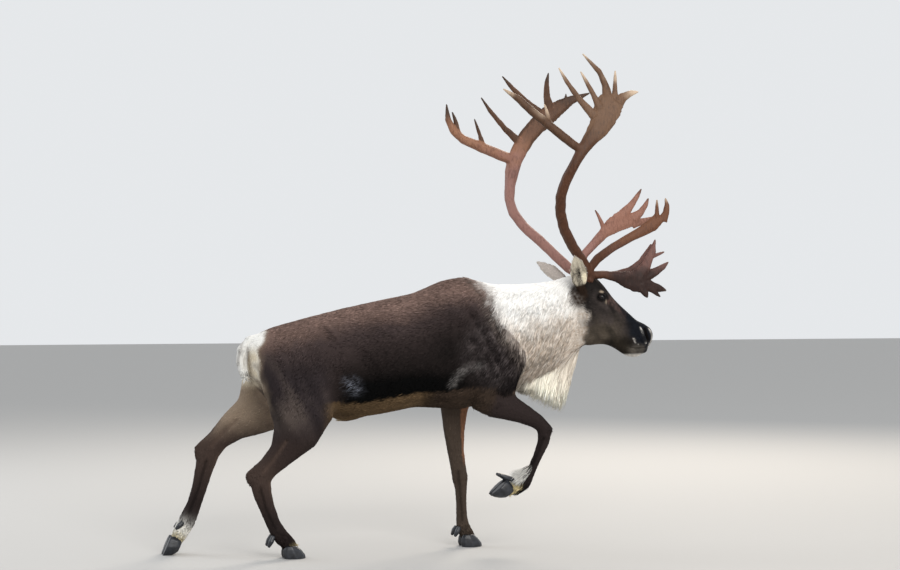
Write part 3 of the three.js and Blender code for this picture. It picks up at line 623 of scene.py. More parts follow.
def bodyColours(s, coat):
    depth = np.interp(s.x, backLine["x"], backLine["z"]) - s.z + 0.014 * s.rough
    coat.lay("bodySide", fade(depth, 0.09, 0.21) * (0.45 + 0.5 * fade(s.x, -0.5, -0.1)))
    # Partly the back's own reddish tone, partly a painted highlight along the top of the body.
    coat.lay("back", below(depth, 0.02, 0.13) * 0.92)
    bandTop = np.interp(s.x, bandEdge["x"], bandEdge["top"]) + 0.010 * s.rough
    bandBottom = np.interp(s.x, bandEdge["x"], bandEdge["bottom"])
    coat.lay("lowFlank", below(s.z, bandTop, bandTop + 0.15) * fade(s.x, -0.5, -0.34) * 0.9)
    inBand = fade(s.x + 0.01 * s.rough, -0.40, -0.33) * below(s.x, 0.1, 0.22)
    # The dark flank band: partly the coat's own dark stripe, partly painted shadow towards the elbow crease.
    coat.lay("flankBandAndShade", below(s.z, bandTop - 0.03, bandTop + 0.05) * inBand)
    under = below(s.z + 0.005 * s.fine, bandBottom - 0.010, bandBottom + 0.004)
    coat.lay("belly", under * fade(s.x, -0.5, -0.42) * below(s.x, -0.04, 0.08))
    coat.lay("chest", under * fade(s.x, -0.04, 0.08))
    patch = ellipse(s.x + 0.35 * (s.z - 0.738), s.z, -0.340, 0.732, 0.062, 0.066, 0.95) * (s.side > 0.12)
    streaks = wave(s.places * np.array([1, 1, 0.3]), 0.016, 9)
    coat.lay("streak", patch * np.clip(0.35 + 0.5 * streaks + 0.25 * s.fine, 0, 0.75))
    coat.lay("lowFlank", ellipse(s.x, s.z, 0.08, 0.87, 0.15, 0.15, 0.9) * 0.9)
    coat.vary(0.18 * s.broad + 0.15 * s.rough + 0.08 * s.fine)


def rumpColours(s, coat):
    onThigh = below(s.x, -0.5, -0.40) * below(s.z, 0.74, 0.90)
    coat.lay("thigh", onThigh * 0.9)
    # Painted highlight on the rear of the thigh and the gaskin.
    coat.lay("thighHighlight", ellipse(s.x, s.z, -0.62, 0.60, 0.11, 0.12, 0.9) * 0.75)
    # Painted muscle shading: painted highlights on the swells and painted shade in the grooves between them.
    muscle = wave(np.stack([s.x + 0.45 * s.z, s.y * 0.3, 0.25 * s.z], 1), 0.075, 11) * onThigh
    coat.lay("thighHighlight", np.clip(muscle, 0, 1) * 0.45)
    coat.lay("darkMottleAndShade", np.clip(-muscle, 0, 1) * 0.45)
    inward = fade(-np.sign(s.y) * s.normals[:, 1], 0.1, 0.6) * below(s.x, -0.48, -0.4) * below(s.z, 0.7, 0.8)
    coat.lay("innerThigh", inward * fade(s.z, 0.36, 0.5) * s.patterned(0.8, 0, 0.2))
    rumpX = np.interp(s.z, rumpEdge["z"], rumpEdge["x"]) + 0.008 * s.rough
    coat.lay("buttock", below(s.x, rumpX - 0.02, rumpX + 0.03) * fade(s.z, 0.50, 0.62))
    coat.lay("rump", below(s.x, rumpX - 0.012, rumpX + 0.008) * fade(s.z, 0.72, 0.80))
    isTail = s.kinds["tail"]
    cream = below(s.x, rumpX - 0.02, rumpX + 0.012) * fade(s.z, 0.70, 0.76) * below(s.z, 0.85, 0.92)
    coat.lay("rumpCream", cream * (1 - isTail))
    coat.lay("rump", isTail)
    coat.lay("rumpShade", isTail * fade(s.rough + 0.6 * s.fine, 0.2, 1.2) * 0.6)
    coat.lay("rumpLineAndCreaseShadow", trace(s.flat, tailStripe, 0.005) * isTail * 0.5)
    # Painted shadow in the crease in front of the tail.
    coat.lay("rumpLineAndCreaseShadow", trace(s.flat, tailCrease, 0.006) * 0.6)


def shoulderColours(s, coat):
    onShoulder = ellipse(s.x, s.z, 0.31, 0.88, 0.21, 0.19) * (s.side > 0.06)
    coat.lay("shoulder", onShoulder * s.mottle * 0.8)
    coat.lay("darkMottleAndShade", onShoulder * (1 - s.mottle) * 0.6)
    neckX = np.interp(s.z, neckEdge["z"], neckEdge["x"])
    beside = fade(s.x, neckX - 0.11, neckX - 0.01) * fade(s.z, 0.76, 0.84)
    coat.lay("shoulderPale", beside * np.clip(s.mottle + 0.1, 0, 1) * 0.8)
    # Painted shade in the crease before the shoulder.
    coat.lay("darkMottleAndShade", strip(s.flat, shoulderCrease, 0.012, 0.05) * (s.x < neckX + 0.02) * 0.9)
    faint = np.clip(0.55 + 0.5 * s.hairs, 0, 1) * (0.55 - 0.32 * fade(s.x, 0.13, 0.19))
    coat.lay("elbowStreak", strip(s.flat, elbowArc, 0.004, 0.028) * (s.side > 0.1) * faint)


def neckColours(s, coat):
    neckX = np.interp(s.z, neckEdge["z"], neckEdge["x"]) + 0.018 * s.rough + 0.014 * s.fine
    mane = s.kinds["throat_mane"]
    allowed = np.where(s.z < 0.76, s.kinds["neck"] + mane, 1)
    soft = 0.012 + 0.030 * fade(s.z, 0.84, 0.96)
    onNeck = fade(s.x + 0.5 * soft * s.fine, neckX - soft, neckX + soft) * fade(s.z, 0.66, 0.70) * allowed
    lowStart = np.interp(s.x, [0.3, 0.7], [0.86, 0.95])
    low = below(s.z + 0.03 * s.rough, lowStart, lowStart + 0.20)
    pale = Paint(coatColours, "neck", len(s.x))
    pale.lay("neckLow", low * (0.72 + 0.28 * s.fine.clip(-1, 1)))
    strands = wave(s.places * np.array([1, 1, 0.35]), 0.012, 8)
    pale.lay("neckStreak", np.clip(strands * (0.12 + 0.40 * low), 0, 0.5))
    coat.cover(pale.tones, onNeck)
    coat.lay("fringe", mane * below(s.z, 0.76, 0.86).clip(0.3, 1))
    # Painted shadow where the mane meets the shoulder, in the chest's brown.
    coat.lay("chest", mane * below(s.x + 0.02 * s.rough, 0.46, 0.53) * below(s.z, 0.72, 0.76) * 0.75)


# How far places lie in front of the rear line of the lifted foot's pastern.
def acrossPastern(places):
    return (places[:, 0] - 0.448) * 0.79 - (places[:, 2] - 0.360) * 0.61


# The long white hair behind that pastern.
def liftedTuft(places):
    away = np.linalg.norm(places - np.array([0.446, -0.150, 0.334]), axis=1)
    return below(away, 0.02, 0.045) * below(acrossPastern(places), 0.008, 0.018)


# The left foreleg's paler inside and a painted warm highlight down its front.
def innerForelegColours(s, coat, close, line):
    upwards = np.array(line)[::-1]
    front = fade(s.x - np.interp(s.z, upwards[:, 2], upwards[:, 0]), 0.012, 0.022) * fade(s.z, 0.34, 0.42)
    inner = close * fade(-s.normals[:, 1], -0.3, 0.4) * below(s.z, 0.6, 0.68)
    coat.lay("forelegInner", inner * 0.8)
    coat.lay("forelegFront", inner * front * s.patterned(0.8, 0.2))


# The lifted foot: pale toes, the white tuft behind its pastern and a dark front.
def liftedFootColours(s, coat, close, share, last, onLegs):
    coat.lay("feet", close * fade(share + 0.1 * s.rough, last - 0.95, last - 0.6))
    coat.lay("feetWhite", fade(liftedTuft(s.places), 0.05, 0.4) * onLegs)
    front = fade(acrossPastern(s.places) + 0.004 * s.fine, 0.020, 0.027)
    coat.lay("legDark", close * front * fade(share, last - 1.2, last - 0.9))


def legColours(s, coat):
    onLegs = (s.kinds["upper"] + s.kinds["cannon"] + s.kinds["pastern"]).clip(0, 1)
    # Painted light: how much a place on the legs faces forwards.
    litForwards = fade(s.normals[:, 0], 0.3, 0.9)
    coat.lay("foreleg", onLegs * fade(s.x, 0.0, 0.1))
    coat.lay("leg", onLegs * below(s.x, -0.45, -0.35) * below(s.z, 0.46, 0.60))
    for name, line in legLines.items():
        away, share, _ = lineDistance(s.places, line)
        last = len(line) - 1
        close = (away < 0.11) * onLegs
        if name.startswith("fore"):
            coat.lay("legDark", close * ridge(share - 2.0, 0.5) * 0.3)
            coat.lay("legDark", close * fade(share, 2.6, 3.4) * 0.6)
        else:
            # The hock's paler hair, with a painted highlight on its side facing forwards; below it the leg's
            # own dark tone, kept lighter on that side as painted light.
            coat.lay("hock", close * ridge(share - 3.0, 0.7) * (0.35 + 0.6 * litForwards))
            coat.lay("legDark", close * fade(share, 3.8, 4.6) * 0.5 * (1 - 0.5 * litForwards))
        if name == "fore_left":
            innerForelegColours(s, coat, close, line)
        if name == "fore_right":
            liftedFootColours(s, coat, close, share, last, onLegs)
        elif name == "hind_left":
            coat.lay("feet", close * fade(share + 0.12 * s.rough, last - 0.85, last - 0.5))
            coat.lay("feetWhite", close * ridge(share - last + 0.6, 0.3) * 0.9)
        else:
            coat.lay("feet", close * fade(share + 0.1 * s.rough, last - 0.4, last - 0.05) * 0.85)
    # Painted highlight along each hamstring tendon, and painted shade in the grooves beside the cannon bones.
    for name, (line, _, _) in legStrokes.items():
        along = trace(s.flat, line, 0.008) * onLegs
        if name.endswith("hamstring"):
            coat.lay("hock", along * 0.45)
        elif name.endswith("cannon"):
            coat.lay("flankBandAndShade", along * 0.5)


# Lines and spots of the face, in the head's frame: a dark wrinkle down from the eye's front corner, the
# reddish bridge of the nose, two small pale dabs behind the nostril, and the patches round the eye with their
# colour, middle from the eye, half size, softness and strength.
faceWrinkle = [(0.098, 0, 1.108), (0.112, 0, 1.075), (0.136, 0, 1.045)]
noseBridge = [(0.120, 0, 1.092), (0.17, 0, 1.062), (0.24, 0, 1.005)]
noseDabs = [[(0.243, 0.048, 0.920), (0.250, 0.048, 0.900)], [(0.258, 0.046, 0.914), (0.266, 0.046, 0.892)]]
eyePatches = [
    ("brow", (0.004, 0.0), (0.040, 0.030), 0.5, 0.8),
    ("eyePatch", (0.002, 0.0235), (0.017, 0.0085), 0.7, 0.85),
    ("eyePatch", (0.026, -0.022), (0.006, 0.016), 0.8, 0.6),
]


def faceColours(s, dark, edgeX):
    dark.lay("cheek", below(s.hz + 0.02 * s.rough, 0.94, 1.04) * below(s.hx, 0.13, 0.22) * 0.85)
    dark.lay("jaw", below(s.hz, 0.90, 0.96) * fade(s.hx, 0.09, 0.14) * below(s.hx, 0.22, 0.26) * 0.85)
    dark.lay("brow", fade(s.hz, 1.09, 1.15) * 0.75)
    dark.lay("brow", ridge(s.hx - edgeX - 0.014, 0.024) * fade(s.hz, 0.98, 1.05) * 0.85)
    flat = s.head * squareOn
    dark.lay("brow", strip(flat, faceWrinkle, 0.004, 0.016) * 0.7)
    dark.lay("brow", np.clip(wave(s.places, 0.07, 10) * 0.6, 0, 0.5))
    dark.lay("bridge", strip(flat, noseBridge, 0.006, 0.028) * (0.1 + 0.8 * s.mottle) * 0.7)
    dark.lay("muzzle", fade(s.hx + 0.35 * (s.hz - 0.95) + 0.014 * s.rough, 0.19, 0.25))


def muzzleColours(s, dark):
    nearChin = ellipse(s.hx, s.hz, 0.262, 0.868, 0.060, 0.040, 0.7)
    dark.lay("chinGrey", nearChin * s.patterned(0.75, 0, 0.25))
    line = {name: values[0] for name, values in headStrokes.items()}
    # The nostril's pale inner rim, and a painted highlight on the lit front edge of the nose along the outer
    # rim.
    innerRim = trace(s.head, line["nostril rim"], 0.0038) * 0.9
    dark.lay("chin", np.maximum(innerRim, trace(s.head, line["outer rim"], 0.005) * 0.95))
    dark.lay("lids", strip(s.head, line["nostril"], 0.008, 0.013))
    dark.lay("lids", strip(s.head, line["mouth"], 0.001, 0.005) * 0.8)
    dark.lay("chin", np.maximum(*[strip(s.head, dab, 0.0010, 0.0038) for dab in noseDabs]) * 0.7)
    underneath = fade(s.hx, 0.185, 0.215) * below(s.hz + 0.05 * (0.31 - s.hx), 0.846, 0.858)
    dark.lay("chin", underneath * 0.9)
    lip = fade(s.hx, 0.312, 0.330) * below(s.hz + 0.006 * s.rough, 0.890, 0.906) * fade(s.hy, 0.004, 0.016)
    dark.lay("chin", lip * (0.55 + 0.25 * s.fine).clip(0, 0.8))


def aroundEyeColours(s, dark):
    eyeX, eyeZ = s.hx - eyeSettings["place"][0], s.hz - eyeSettings["place"][2]
    outside = fade(s.hy, 0.045, 0.06)
    for name, middle, half, soft, strength in eyePatches:
        dark.lay(name, ellipse(eyeX, eyeZ, *middle, *half, soft) * outside * strength)
    around = np.sqrt((eyeX / 0.022) ** 2 + (eyeZ / 0.0145) ** 2)
    dark.lay("lids", below(around, 0.85, 1.15) * outside)


def headColours(s, coat):
    edgeX = np.interp(s.hz, faceEdge["z"], faceEdge["x"])
    onHead = (s.kinds["head"] + s.kinds["neck"] + s.kinds["ear"]).clip(0, 1)
    face = fade(s.hx - edgeX + 0.008 * s.rough, -0.024, 0.010) * onHead
    dark = Paint(coatColours, "head", len(s.x))
    faceColours(s, dark, edgeX)
    muzzleColours(s, dark)
    aroundEyeColours(s, dark)
    dark.vary(0.20 * s.rough + 0.14 * s.fine)
    coat.cover(dark.tones, face)
    between = fade(s.hx - edgeX, -0.07, -0.01) * fade(s.hz, 0.92, 0.98) * (1 - face) * onHead
    coat.lay("cheek", between * s.patterned(0.45, 0, 0.20))
    underEar = ellipse(s.hx, s.hz, -0.034, 1.116, 0.050, 0.068, 0.4) * onHead * fade(s.hy, 0.03, 0.05)
    coat.lay("earBase", underEar * s.patterned(0.92, 0.10))


# Each ear's base and tip, the way its hollow faces, and half its width.
ears = {
    "right": {"base": (0.712, -0.092, 1.158), "tip": (0.669, -0.138, 1.290), "facing": (-0.12, -0.97, 0.1)},
    "left": {"base": (0.706, 0.096, 1.172), "tip": (0.586, 0.141, 1.265), "facing": (0.25, 0.9, 0.35)},
}
ears = {side: {key: np.array(value) for key, value in ear.items()} for side, ear in ears.items()}
earHalfWidth = 0.045


# Where places lie in their ear: share of its length, share of its half width towards the face, and how much
# they face into its hollow.
def inEar(places, normals):
    up, across, inward = (np.zeros(len(places)) for _ in range(3))
    for ear, sign in ((ears["right"], -1), (ears["left"], 1)):
        mine = sign * places[:, 1] > 0
        run = ear["tip"] - ear["base"]
        length = np.linalg.norm(run)
        sideways = np.cross(run / length, ear["facing"]) * -sign
        sideways /= np.linalg.norm(sideways)
        up[mine] = (places[mine] - ear["base"]) @ run / length ** 2
        across[mine] = (places[mine] - ear["base"]) @ sideways / earHalfWidth
        inward[mine] = fade(normals[mine] @ ear["facing"], 0.1, 0.6)
    return up, across, inward


def earColours(s, coat):
    up, across, inward = inEar(s.places, s.normals)
    strands = fade(np.sin(across * 17 + 2.0 * s.rough), -0.2, 0.8)
    hollow = Paint(coatColours, "ear", len(s.x))
    hollow.lay("earDark", strands * below(up, 0.45, 0.95) * 0.75)
    hollow.lay("earBright", ellipse(across, up, 0.55, 0.20, 0.42, 0.36, 0.6))
    hollow.lay("earDark", ellipse(across, up, 0.02, 0.47, 0.24, 0.20, 0.6) * 0.95)
    hollow.lay("earDark", ellipse(across, up, -0.10, 0.22, 0.10, 0.30, 0.6) * 0.8)
    hollow.lay("earBase", fade(np.abs(across + 0.1), 0.76, 0.94) * 0.85)
    hollow.lay("earBase", below(up, 0.02, 0.10))
    back = Paint(coatColours, "earBack", len(s.x))
    back.lay("neck", fade(np.abs(across), 0.66, 0.86) * 0.8)
    back.lay("earBase", below(up, 0.06, 0.16))
    back.cover(hollow.tones, inward)
    coat.cover(back.tones, s.kinds["ear"])


def coatColour(places, normals, kinds):
    s = Spots(places, normals, kinds)
    coat = Paint(coatColours, "body", len(s.x))
    for mark in (bodyColours, rumpColours, shoulderColours, neckColours, legColours, headColours, earColours):
        mark(s, coat)
    coat.lay("sheath", blob(places, (-0.375, 0.004, 0.56), (0.045, 0.04, 0.035)))
    return np.clip(coat.tones, 0.002, 1)


# Which way the hair lies at each place.
def lieOfCoat(places, normals, kinds):
    x, y, z = places.T
    side = np.sign(y)
    none = np.zeros(len(x))
    drop = fade(1.15 - z, 0.0, 0.4)
    trunk = np.stack([none - 1, 0.1 * side * normals[:, 2], -0.15 - 0.45 * drop * fade(z, 0.6, 0.75)], 1)
    trunk[:, 2] -= 0.7 * ellipse(x, z, 0.3, 0.9, 0.25, 0.35)
    trunk[:, 2] -= 0.9 * ellipse(x, z, -0.64, 0.8, 0.26, 0.3)
    tail = lineDistance(places, tailLine)[2]
    rear = below(x, -0.70, -0.60)[:, None] * fade(z, 0.68, 0.78)[:, None]
    trunk = unit(trunk) * (1 - rear) + tail * rear
    neck = np.stack([none - 0.62, 0.1 * side, -0.75 * below(normals[:, 2], 0.5, 1.0) - 0.12], 1)
    mane = np.stack([none - 0.30, none, none - 1], 1)
    head = np.stack([none - 1, 0.25 * side, 0.42 * fade(headFrame(places)[:, 2], 0.98, 1.06)], 1)
    right, left = (ears[name]["tip"] - ears[name]["base"] for name in ("right", "left"))
    ear = np.where((y < 0)[:, None], right, left)
    leg = np.zeros_like(trunk)
    best = np.full(len(x), 1e9)
    for line in legLines.values():
        away, _, direction = lineDistance(places, line)
        closer = away < best
        best = np.where(closer, away, best)
        leg[closer] = direction[closer]
    fields = {"trunk": trunk, "neck": neck, "head": head, "throat_mane": mane, "tail": tail, "ear": ear,
              "upper": leg, "cannon": leg, "pastern": leg}
    return unit(sum(kinds[name][:, None] * unit(field) for name, field in fields.items()))


# A socket of a shader node, with the arithmetic that the materials use.
class Socket:
    tree = None

    def __init__(self, output):
        self.output = output

    @classmethod
    def node(cls, kind, settings=None, inputs=None, output=0):
        made = cls.tree.nodes.new(kind)
        for key, value in (settings or {}).items():
            if key == "stops":
                cls.setStops(made.color_ramp, value)
            else:
                setattr(made, key, value)
        for key, value in (inputs or {}).items():
            cls.plug(made.inputs[key], value)
        return cls(made.outputs[output])

    @classmethod
    def plug(cls, socket, value):
        if isinstance(value, Socket):
            cls.tree.links.new(value.output, socket)
        else:
            socket.default_value = value

    @staticmethod
    def setStops(ramp, stops):
        while len(ramp.elements) > 1:
            ramp.elements.remove(ramp.elements[-1])
        for i, (at, colour) in enumerate(stops):
            stop = ramp.elements[0] if i == 0 else ramp.elements.new(at)
            stop.position = at
            stop.color = (*colour, 1)

    def maths(self, operation, other=None, swapped=False):
        first, second = (other, self) if swapped else (self, other)
        values = {0: first} if second is None else {0: first, 1: second}
        return Socket.node("ShaderNodeMath", {"operation": operation}, values)

    def __add__(self, other):
        return self.maths("ADD", other)

    def __radd__(self, other):
        return self.maths("ADD", other)

    def __mul__(self, other):
        return self.maths("MULTIPLY", other)

    def __rmul__(self, other):
        return self.maths("MULTIPLY", other)

    def __sub__(self, other):
        return self.maths("SUBTRACT", other)

    def __rsub__(self, other):
        return self.maths("SUBTRACT", other, True)

    def __truediv__(self, other):
        return self.maths("DIVIDE", other)

    def __rtruediv__(self, other):
        return self.maths("DIVIDE", other, True)


# Mixes two colours, each a socket or red, green and blue. The colour mix node names several sockets alike, so
# its factor, colours and result are reached by their numbers.
def blended(first, second, amount, how="MIX"):
    factor, firstColour, secondColour, result = 0, 6, 7, 2
    colours = [c if isinstance(c, Socket) else (*c, 1) for c in (first, second)]
    return Socket.node("ShaderNodeMix", {"data_type": "RGBA", "blend_type": how},
                       {factor: amount, firstColour: colours[0], secondColour: colours[1]}, result)


def newMaterial(name, fixed):
    material = bpy.data.materials.new(name)
    material.use_nodes = True
    Socket.tree = material.node_tree
    shader = material.node_tree.nodes["Principled BSDF"]
    for key, value in fixed.items():
        shader.inputs[key].default_value = value
    return material, shader


def feed(shader, socketName, source):
    Socket.plug(shader.inputs[socketName], source)


def objectPlaces():
    return Socket.node("ShaderNodeTexCoord", output="Object")


def attribute(name, output=0):
    return Socket.node("ShaderNodeAttribute", {"attribute_name": name}, output=output)


def noiseAt(vector, scale, detail=3.0, roughness=0.6):
    return Socket.node("ShaderNodeTexNoise", {}, {"Vector": vector, "Scale": scale, "Detail": detail,
                                                 "Roughness": roughness})


def stretched(vector, scale):
    return Socket.node("ShaderNodeMapping", {}, {"Vector": vector, "Scale": scale})


def fadeOf(value, low, high):
    return Socket.node("ShaderNodeMapRange", {"interpolation_type": "SMOOTHSTEP"},
                       {"Value": value, "From Min": low, "From Max": high, "To Min": 0.0, "To Max": 1.0})


def bumpOf(height, strength, distance):
    return Socket.node("ShaderNodeBump", {}, {"Strength": strength, "Distance": distance, "Height": height})


def rampOf(value, stops):
    return Socket.node("ShaderNodeValToRGB", {"stops": [(at, linear(tone)) for at, tone in stops]},
                       {"Fac": value})


def furMaterial():
    material, shader = newMaterial("coat", {"Roughness": 0.8, "Specular IOR Level": 0.06})
    feed(shader, "Base Color", attribute("coatColour"))
    return material


# The undercoat: fine streaks along the hair, and small pores where the skin is bare.
def skinMaterial():
    material, shader = newMaterial("undercoat", {"Roughness": 0.85, "Specular IOR Level": 0.06})
    coat = attribute("coatColour")
    bare = attribute("bareSkin", "Fac")
    downwards = attribute("hangs", "Fac")
    places = objectPlaces()
    lengthwise = noiseAt(stretched(places, (45, 260, 260)), 1.0)
    hanging = noiseAt(stretched(places, (260, 260, 40)), 1.0)
    streaks = lengthwise * (1 - downwards) + hanging * downwards
    shade = blended(coat, (0.42, 0.39, 0.37), (1 - streaks) * 0.8, "MULTIPLY")
    feed(shader, "Base Color", blended(shade, coat, bare))
    pores = noiseAt(places, 420.0, 2.0)
    feed(shader, "Normal", bumpOf(streaks * (1 - bare) + pores * bare * 0.35, 0.8, 0.004))
    feed(shader, "Roughness", 0.85 - bare * 0.40)
    return material


# Bare bone: grain and grooves along the beam, darker blotches and small pits.
def antlerMaterial():
    material, shader = newMaterial("antler bone", {"Roughness": 0.5, "Specular IOR Level": 0.35})
    places = objectPlaces()
    grain = noiseAt(stretched(places, (130, 130, 34)), 1.0, 5.0)
    blotch = noiseAt(places, 14.0, 4.0)
    darker = fadeOf(grain * 0.65 + blotch * 0.35, 0.54, 0.34) * 0.6
    dark = blended(attribute("boneColour"), (0.34, 0.28, 0.25), darker, "MULTIPLY")
    feed(shader, "Base Color", blended(dark, (1.0, 0.92, 0.82), fadeOf(grain, 0.56, 0.78) * 0.03))
    grooves = noiseAt(stretched(places, (150, 150, 26)), 1.0, 5.0, 0.65)
    pits = noiseAt(places, 330.0, 2.0)
    feed(shader, "Normal", bumpOf(grooves + pits * 0.12, 0.4, 0.002))
    feed(shader, "Roughness", 0.50 + grain * 0.25)
    return material


def hoofMaterial():
    material, shader = newMaterial("hoof horn", {"Roughness": 0.35, "Specular IOR Level": 0.5})
    places = objectPlaces()
    cloud = noiseAt(places, 60.0, 4.0)
    feed(shader, "Base Color", rampOf(cloud, [(0.3, (15, 16, 20)), (0.7, (42, 45, 52))]))
    rings = noiseAt(stretched(places, (40, 40, 260)), 1.0)
    feed(shader, "Normal", bumpOf(rings, 0.35, 0.002))
    feed(shader, "Roughness", 0.25 + cloud * 0.3)
    return material


# For each region: roots per square metre, length, half width, lift in degrees, sag, rings between root and
# tip, how far the tufts turn aside, how much they differ in tone, and the tone of their roots.
coats = {
    "trunk": {"kinds": ["trunk"], "density": 23000, "length": 0.030, "width": 0.0024, "lift": 8, "sag": 0.0,
              "rings": 1, "turn": 0.14, "variation": 0.20, "rootTone": 0.72},
    "neck": {"kinds": ["neck"], "density": 56000, "length": 0.056, "width": 0.0019, "lift": 8, "sag": 0.25,
             "rings": 2, "turn": 0.08, "variation": 0.07, "rootTone": 0.84},
    "mane": {"kinds": ["throat_mane"], "density": 42000, "length": 0.100, "width": 0.0024, "lift": 8,
             "sag": 0.5, "rings": 3, "turn": 0.08, "variation": 0.06, "rootTone": 0.92},
    "tail": {"kinds": ["tail"], "density": 70000, "length": 0.036, "width": 0.0018, "lift": 2, "sag": 0.0,
             "rings": 2, "turn": 0.04, "variation": 0.06, "rootTone": 0.88},
    "legs": {"kinds": ["upper", "cannon"], "density": 24000, "length": 0.015, "width": 0.0017, "lift": 8,
             "sag": 0.0, "rings": 1, "turn": 0.12, "variation": 0.18, "rootTone": 0.75},
    "feet": {"kinds": ["pastern"], "density": 90000, "length": 0.022, "width": 0.0016, "lift": 16,
             "sag": 0.2, "rings": 1, "turn": 0.12, "variation": 0.12, "rootTone": 0.80},
    "foot_tuft": {"kinds": ["pastern", "cannon"], "density": 260000, "length": 0.050, "width": 0.0017,
                  "lift": 40, "sag": 0.1, "rings": 2, "turn": 0.12, "variation": 0.06, "rootTone": 0.90,
                  "where": liftedTuft},
    "head": {"kinds": ["head"], "density": 60000, "length": 0.011, "width": 0.0012, "lift": 8, "sag": 0.0,
             "rings": 1, "turn": 0.12, "variation": 0.18, "rootTone": 0.75},
    "ears": {"kinds": ["ear"], "density": 90000, "length": 0.012, "width": 0.0009, "lift": 12, "sag": 0.0,
             "rings": 1, "turn": 0.12, "variation": 0.12, "rootTone": 0.85},
}

tuftSettings = {
    "along": [0, 0.35, 0.75, 1],
    "profile": [0.85, 1.0, 0.62, 0.0],
    "section": [(-1.0, -0.18), (1.0, -0.18), (0.0, 0.75)],
    "bend": 0.45,
    "sizeRange": (0.75, 1.25),
    "liftRange": (0.6, 1.5),
    "rootDepth": 0.0015,
    "patchHalf": 0.0014,
    "quickShare": 0.3,
    "colourJitter": 0.004,
    "flowBlend": 30,
    "kindBlend": 6,
    "mostTriangles": 190000,
}

# Height of the throat mane's lower edge along the body.
maneBottom = {"x": [0.39, 0.437, 0.493, 0.563, 0.638, 0.681, 0.714, 0.756],
              "z": [0.747, 0.733, 0.715, 0.660, 0.628, 0.614, 0.698, 0.842]}


# How long the tufts are at each place, against their coat's own length.
def lengthAt(name, places):
    x, _, z = places.T
    if name == "trunk":
        size = 0.75 + 0.25 * fade(z, 0.9, 1.1)
        size = size + 0.5 * fade(x, 0.24, 0.36) * (z > 0.7)
        size = size - 0.30 * below(x, -0.70, -0.62)
        return size - 0.35 * below(z, 0.5, 0.66)
    if name == "neck":
        size = 0.70 + 0.45 * below(z, 0.8, 1.1)
        return size * (0.45 + 0.55 * below(x, 0.62, 0.74))
    if name == "mane":
        room = z - np.interp(x, maneBottom["x"], maneBottom["z"])
        return np.clip(room * 0.8 + 0.006, 0.018, 0.11) / coats["mane"]["length"]
    if name == "tail":
        return 0.45 + 0.55 * below(z, 0.79, 0.85)
    if name == "head":
        return 0.55 + 0.9 * below(headFrame(places)[:, 0], 0.0, 0.12)
    return np.ones(len(places))


# How bare the skin is, from places in the head's frame: inside the nostrils and round the eyes.
def bareSkin(local):
    hx, hy, hz = local[:, 0], np.abs(local[:, 1]), local[:, 2]
    nostril = strip(np.stack([hx, hy, hz], 1), headStrokes["nostril"][0], 0.009, 0.014)
    eyeX, eyeZ = hx - eyeSettings["place"][0], hz - eyeSettings["place"][2]
    around = np.sqrt((eyeX / 0.021) ** 2 + (eyeZ / 0.016) ** 2)
    return np.maximum(nostril, below(around, 0.85, 1.05) * (hy > 0.05))


# Values at spots in triangles, mixed from those at the three corners.
def mixedRows(values, rows, shares):
    return (values[rows] * shares[:, :, None]).sum(1)


kindNames = list(skinSettings["depths"])


# Names the columns of an array that has one for each kind of flesh.
def kindTable(rows):
    return {name: rows[:, i] for i, name in enumerate(kindNames)}


# What the coat takes from the skin: its triangles, and at each point the kinds of flesh and the hair's lie.
class CoatBase:
    def __init__(self, mesh):
        mesh.calc_loop_triangles()
        self.corners = rowsOf(mesh.loop_triangles, "vertices", 3, np.int32)
        self.loops = rowsOf(mesh.loop_triangles, "loops", 3, np.int32)
        self.uvs = rowsOf(mesh.uv_layers["OFBake"].data, "uv", 2)
        self.places, self.normals, edges = pointsOf(mesh), normalsOf(mesh), edgesOf(mesh)
        self.animal = self.places - offset
        found = finder.at(self.places)
        flags = [byKind(found, {kind: float(kind == name) for kind in kindNames}) for name in kindNames]
        self.kinds = spread(np.stack(flags, 1), edges, tuftSettings["kindBlend"])
        lie = lieOfCoat(self.animal, self.normals, kindTable(self.kinds))
        self.lie = unit(spread(lie, edges, tuftSettings["flowBlend"]))
        a, b, c = (self.places[self.corners[:, k]] for k in range(3))
        self.areas = np.linalg.norm(np.cross(b - a, c - a), axis=1) / 2
        self.middles = (a + b + c) / 3 - offset
        self.faceKinds = kindTable(self.kinds[self.corners].mean(1))


def paintSkin(mesh, base):
    kinds = kindTable(base.kinds)
    writeColours(mesh, "coatColour", coatColour(base.animal, base.normals, kinds))
    writeValues(mesh, "hangs", fade(np.abs(base.lie[:, 2]), 0.5, 0.8))
    writeValues(mesh, "bareSkin", bareSkin(headFrame(base.animal)) * kinds["head"])


# Picks triangles by their weights, and in each a random spot as shares of its corners.
def sampleRoots(weights, count):
    chosen = dice.choice(len(weights), size=count, p=weights / weights.sum())
    a = dice.random(count)
    b = dice.random(count)
    flip = a + b > 1
    a[flip], b[flip] = 1 - a[flip], 1 - b[flip]
    return chosen, np.stack([1 - a - b, a, b], 1)


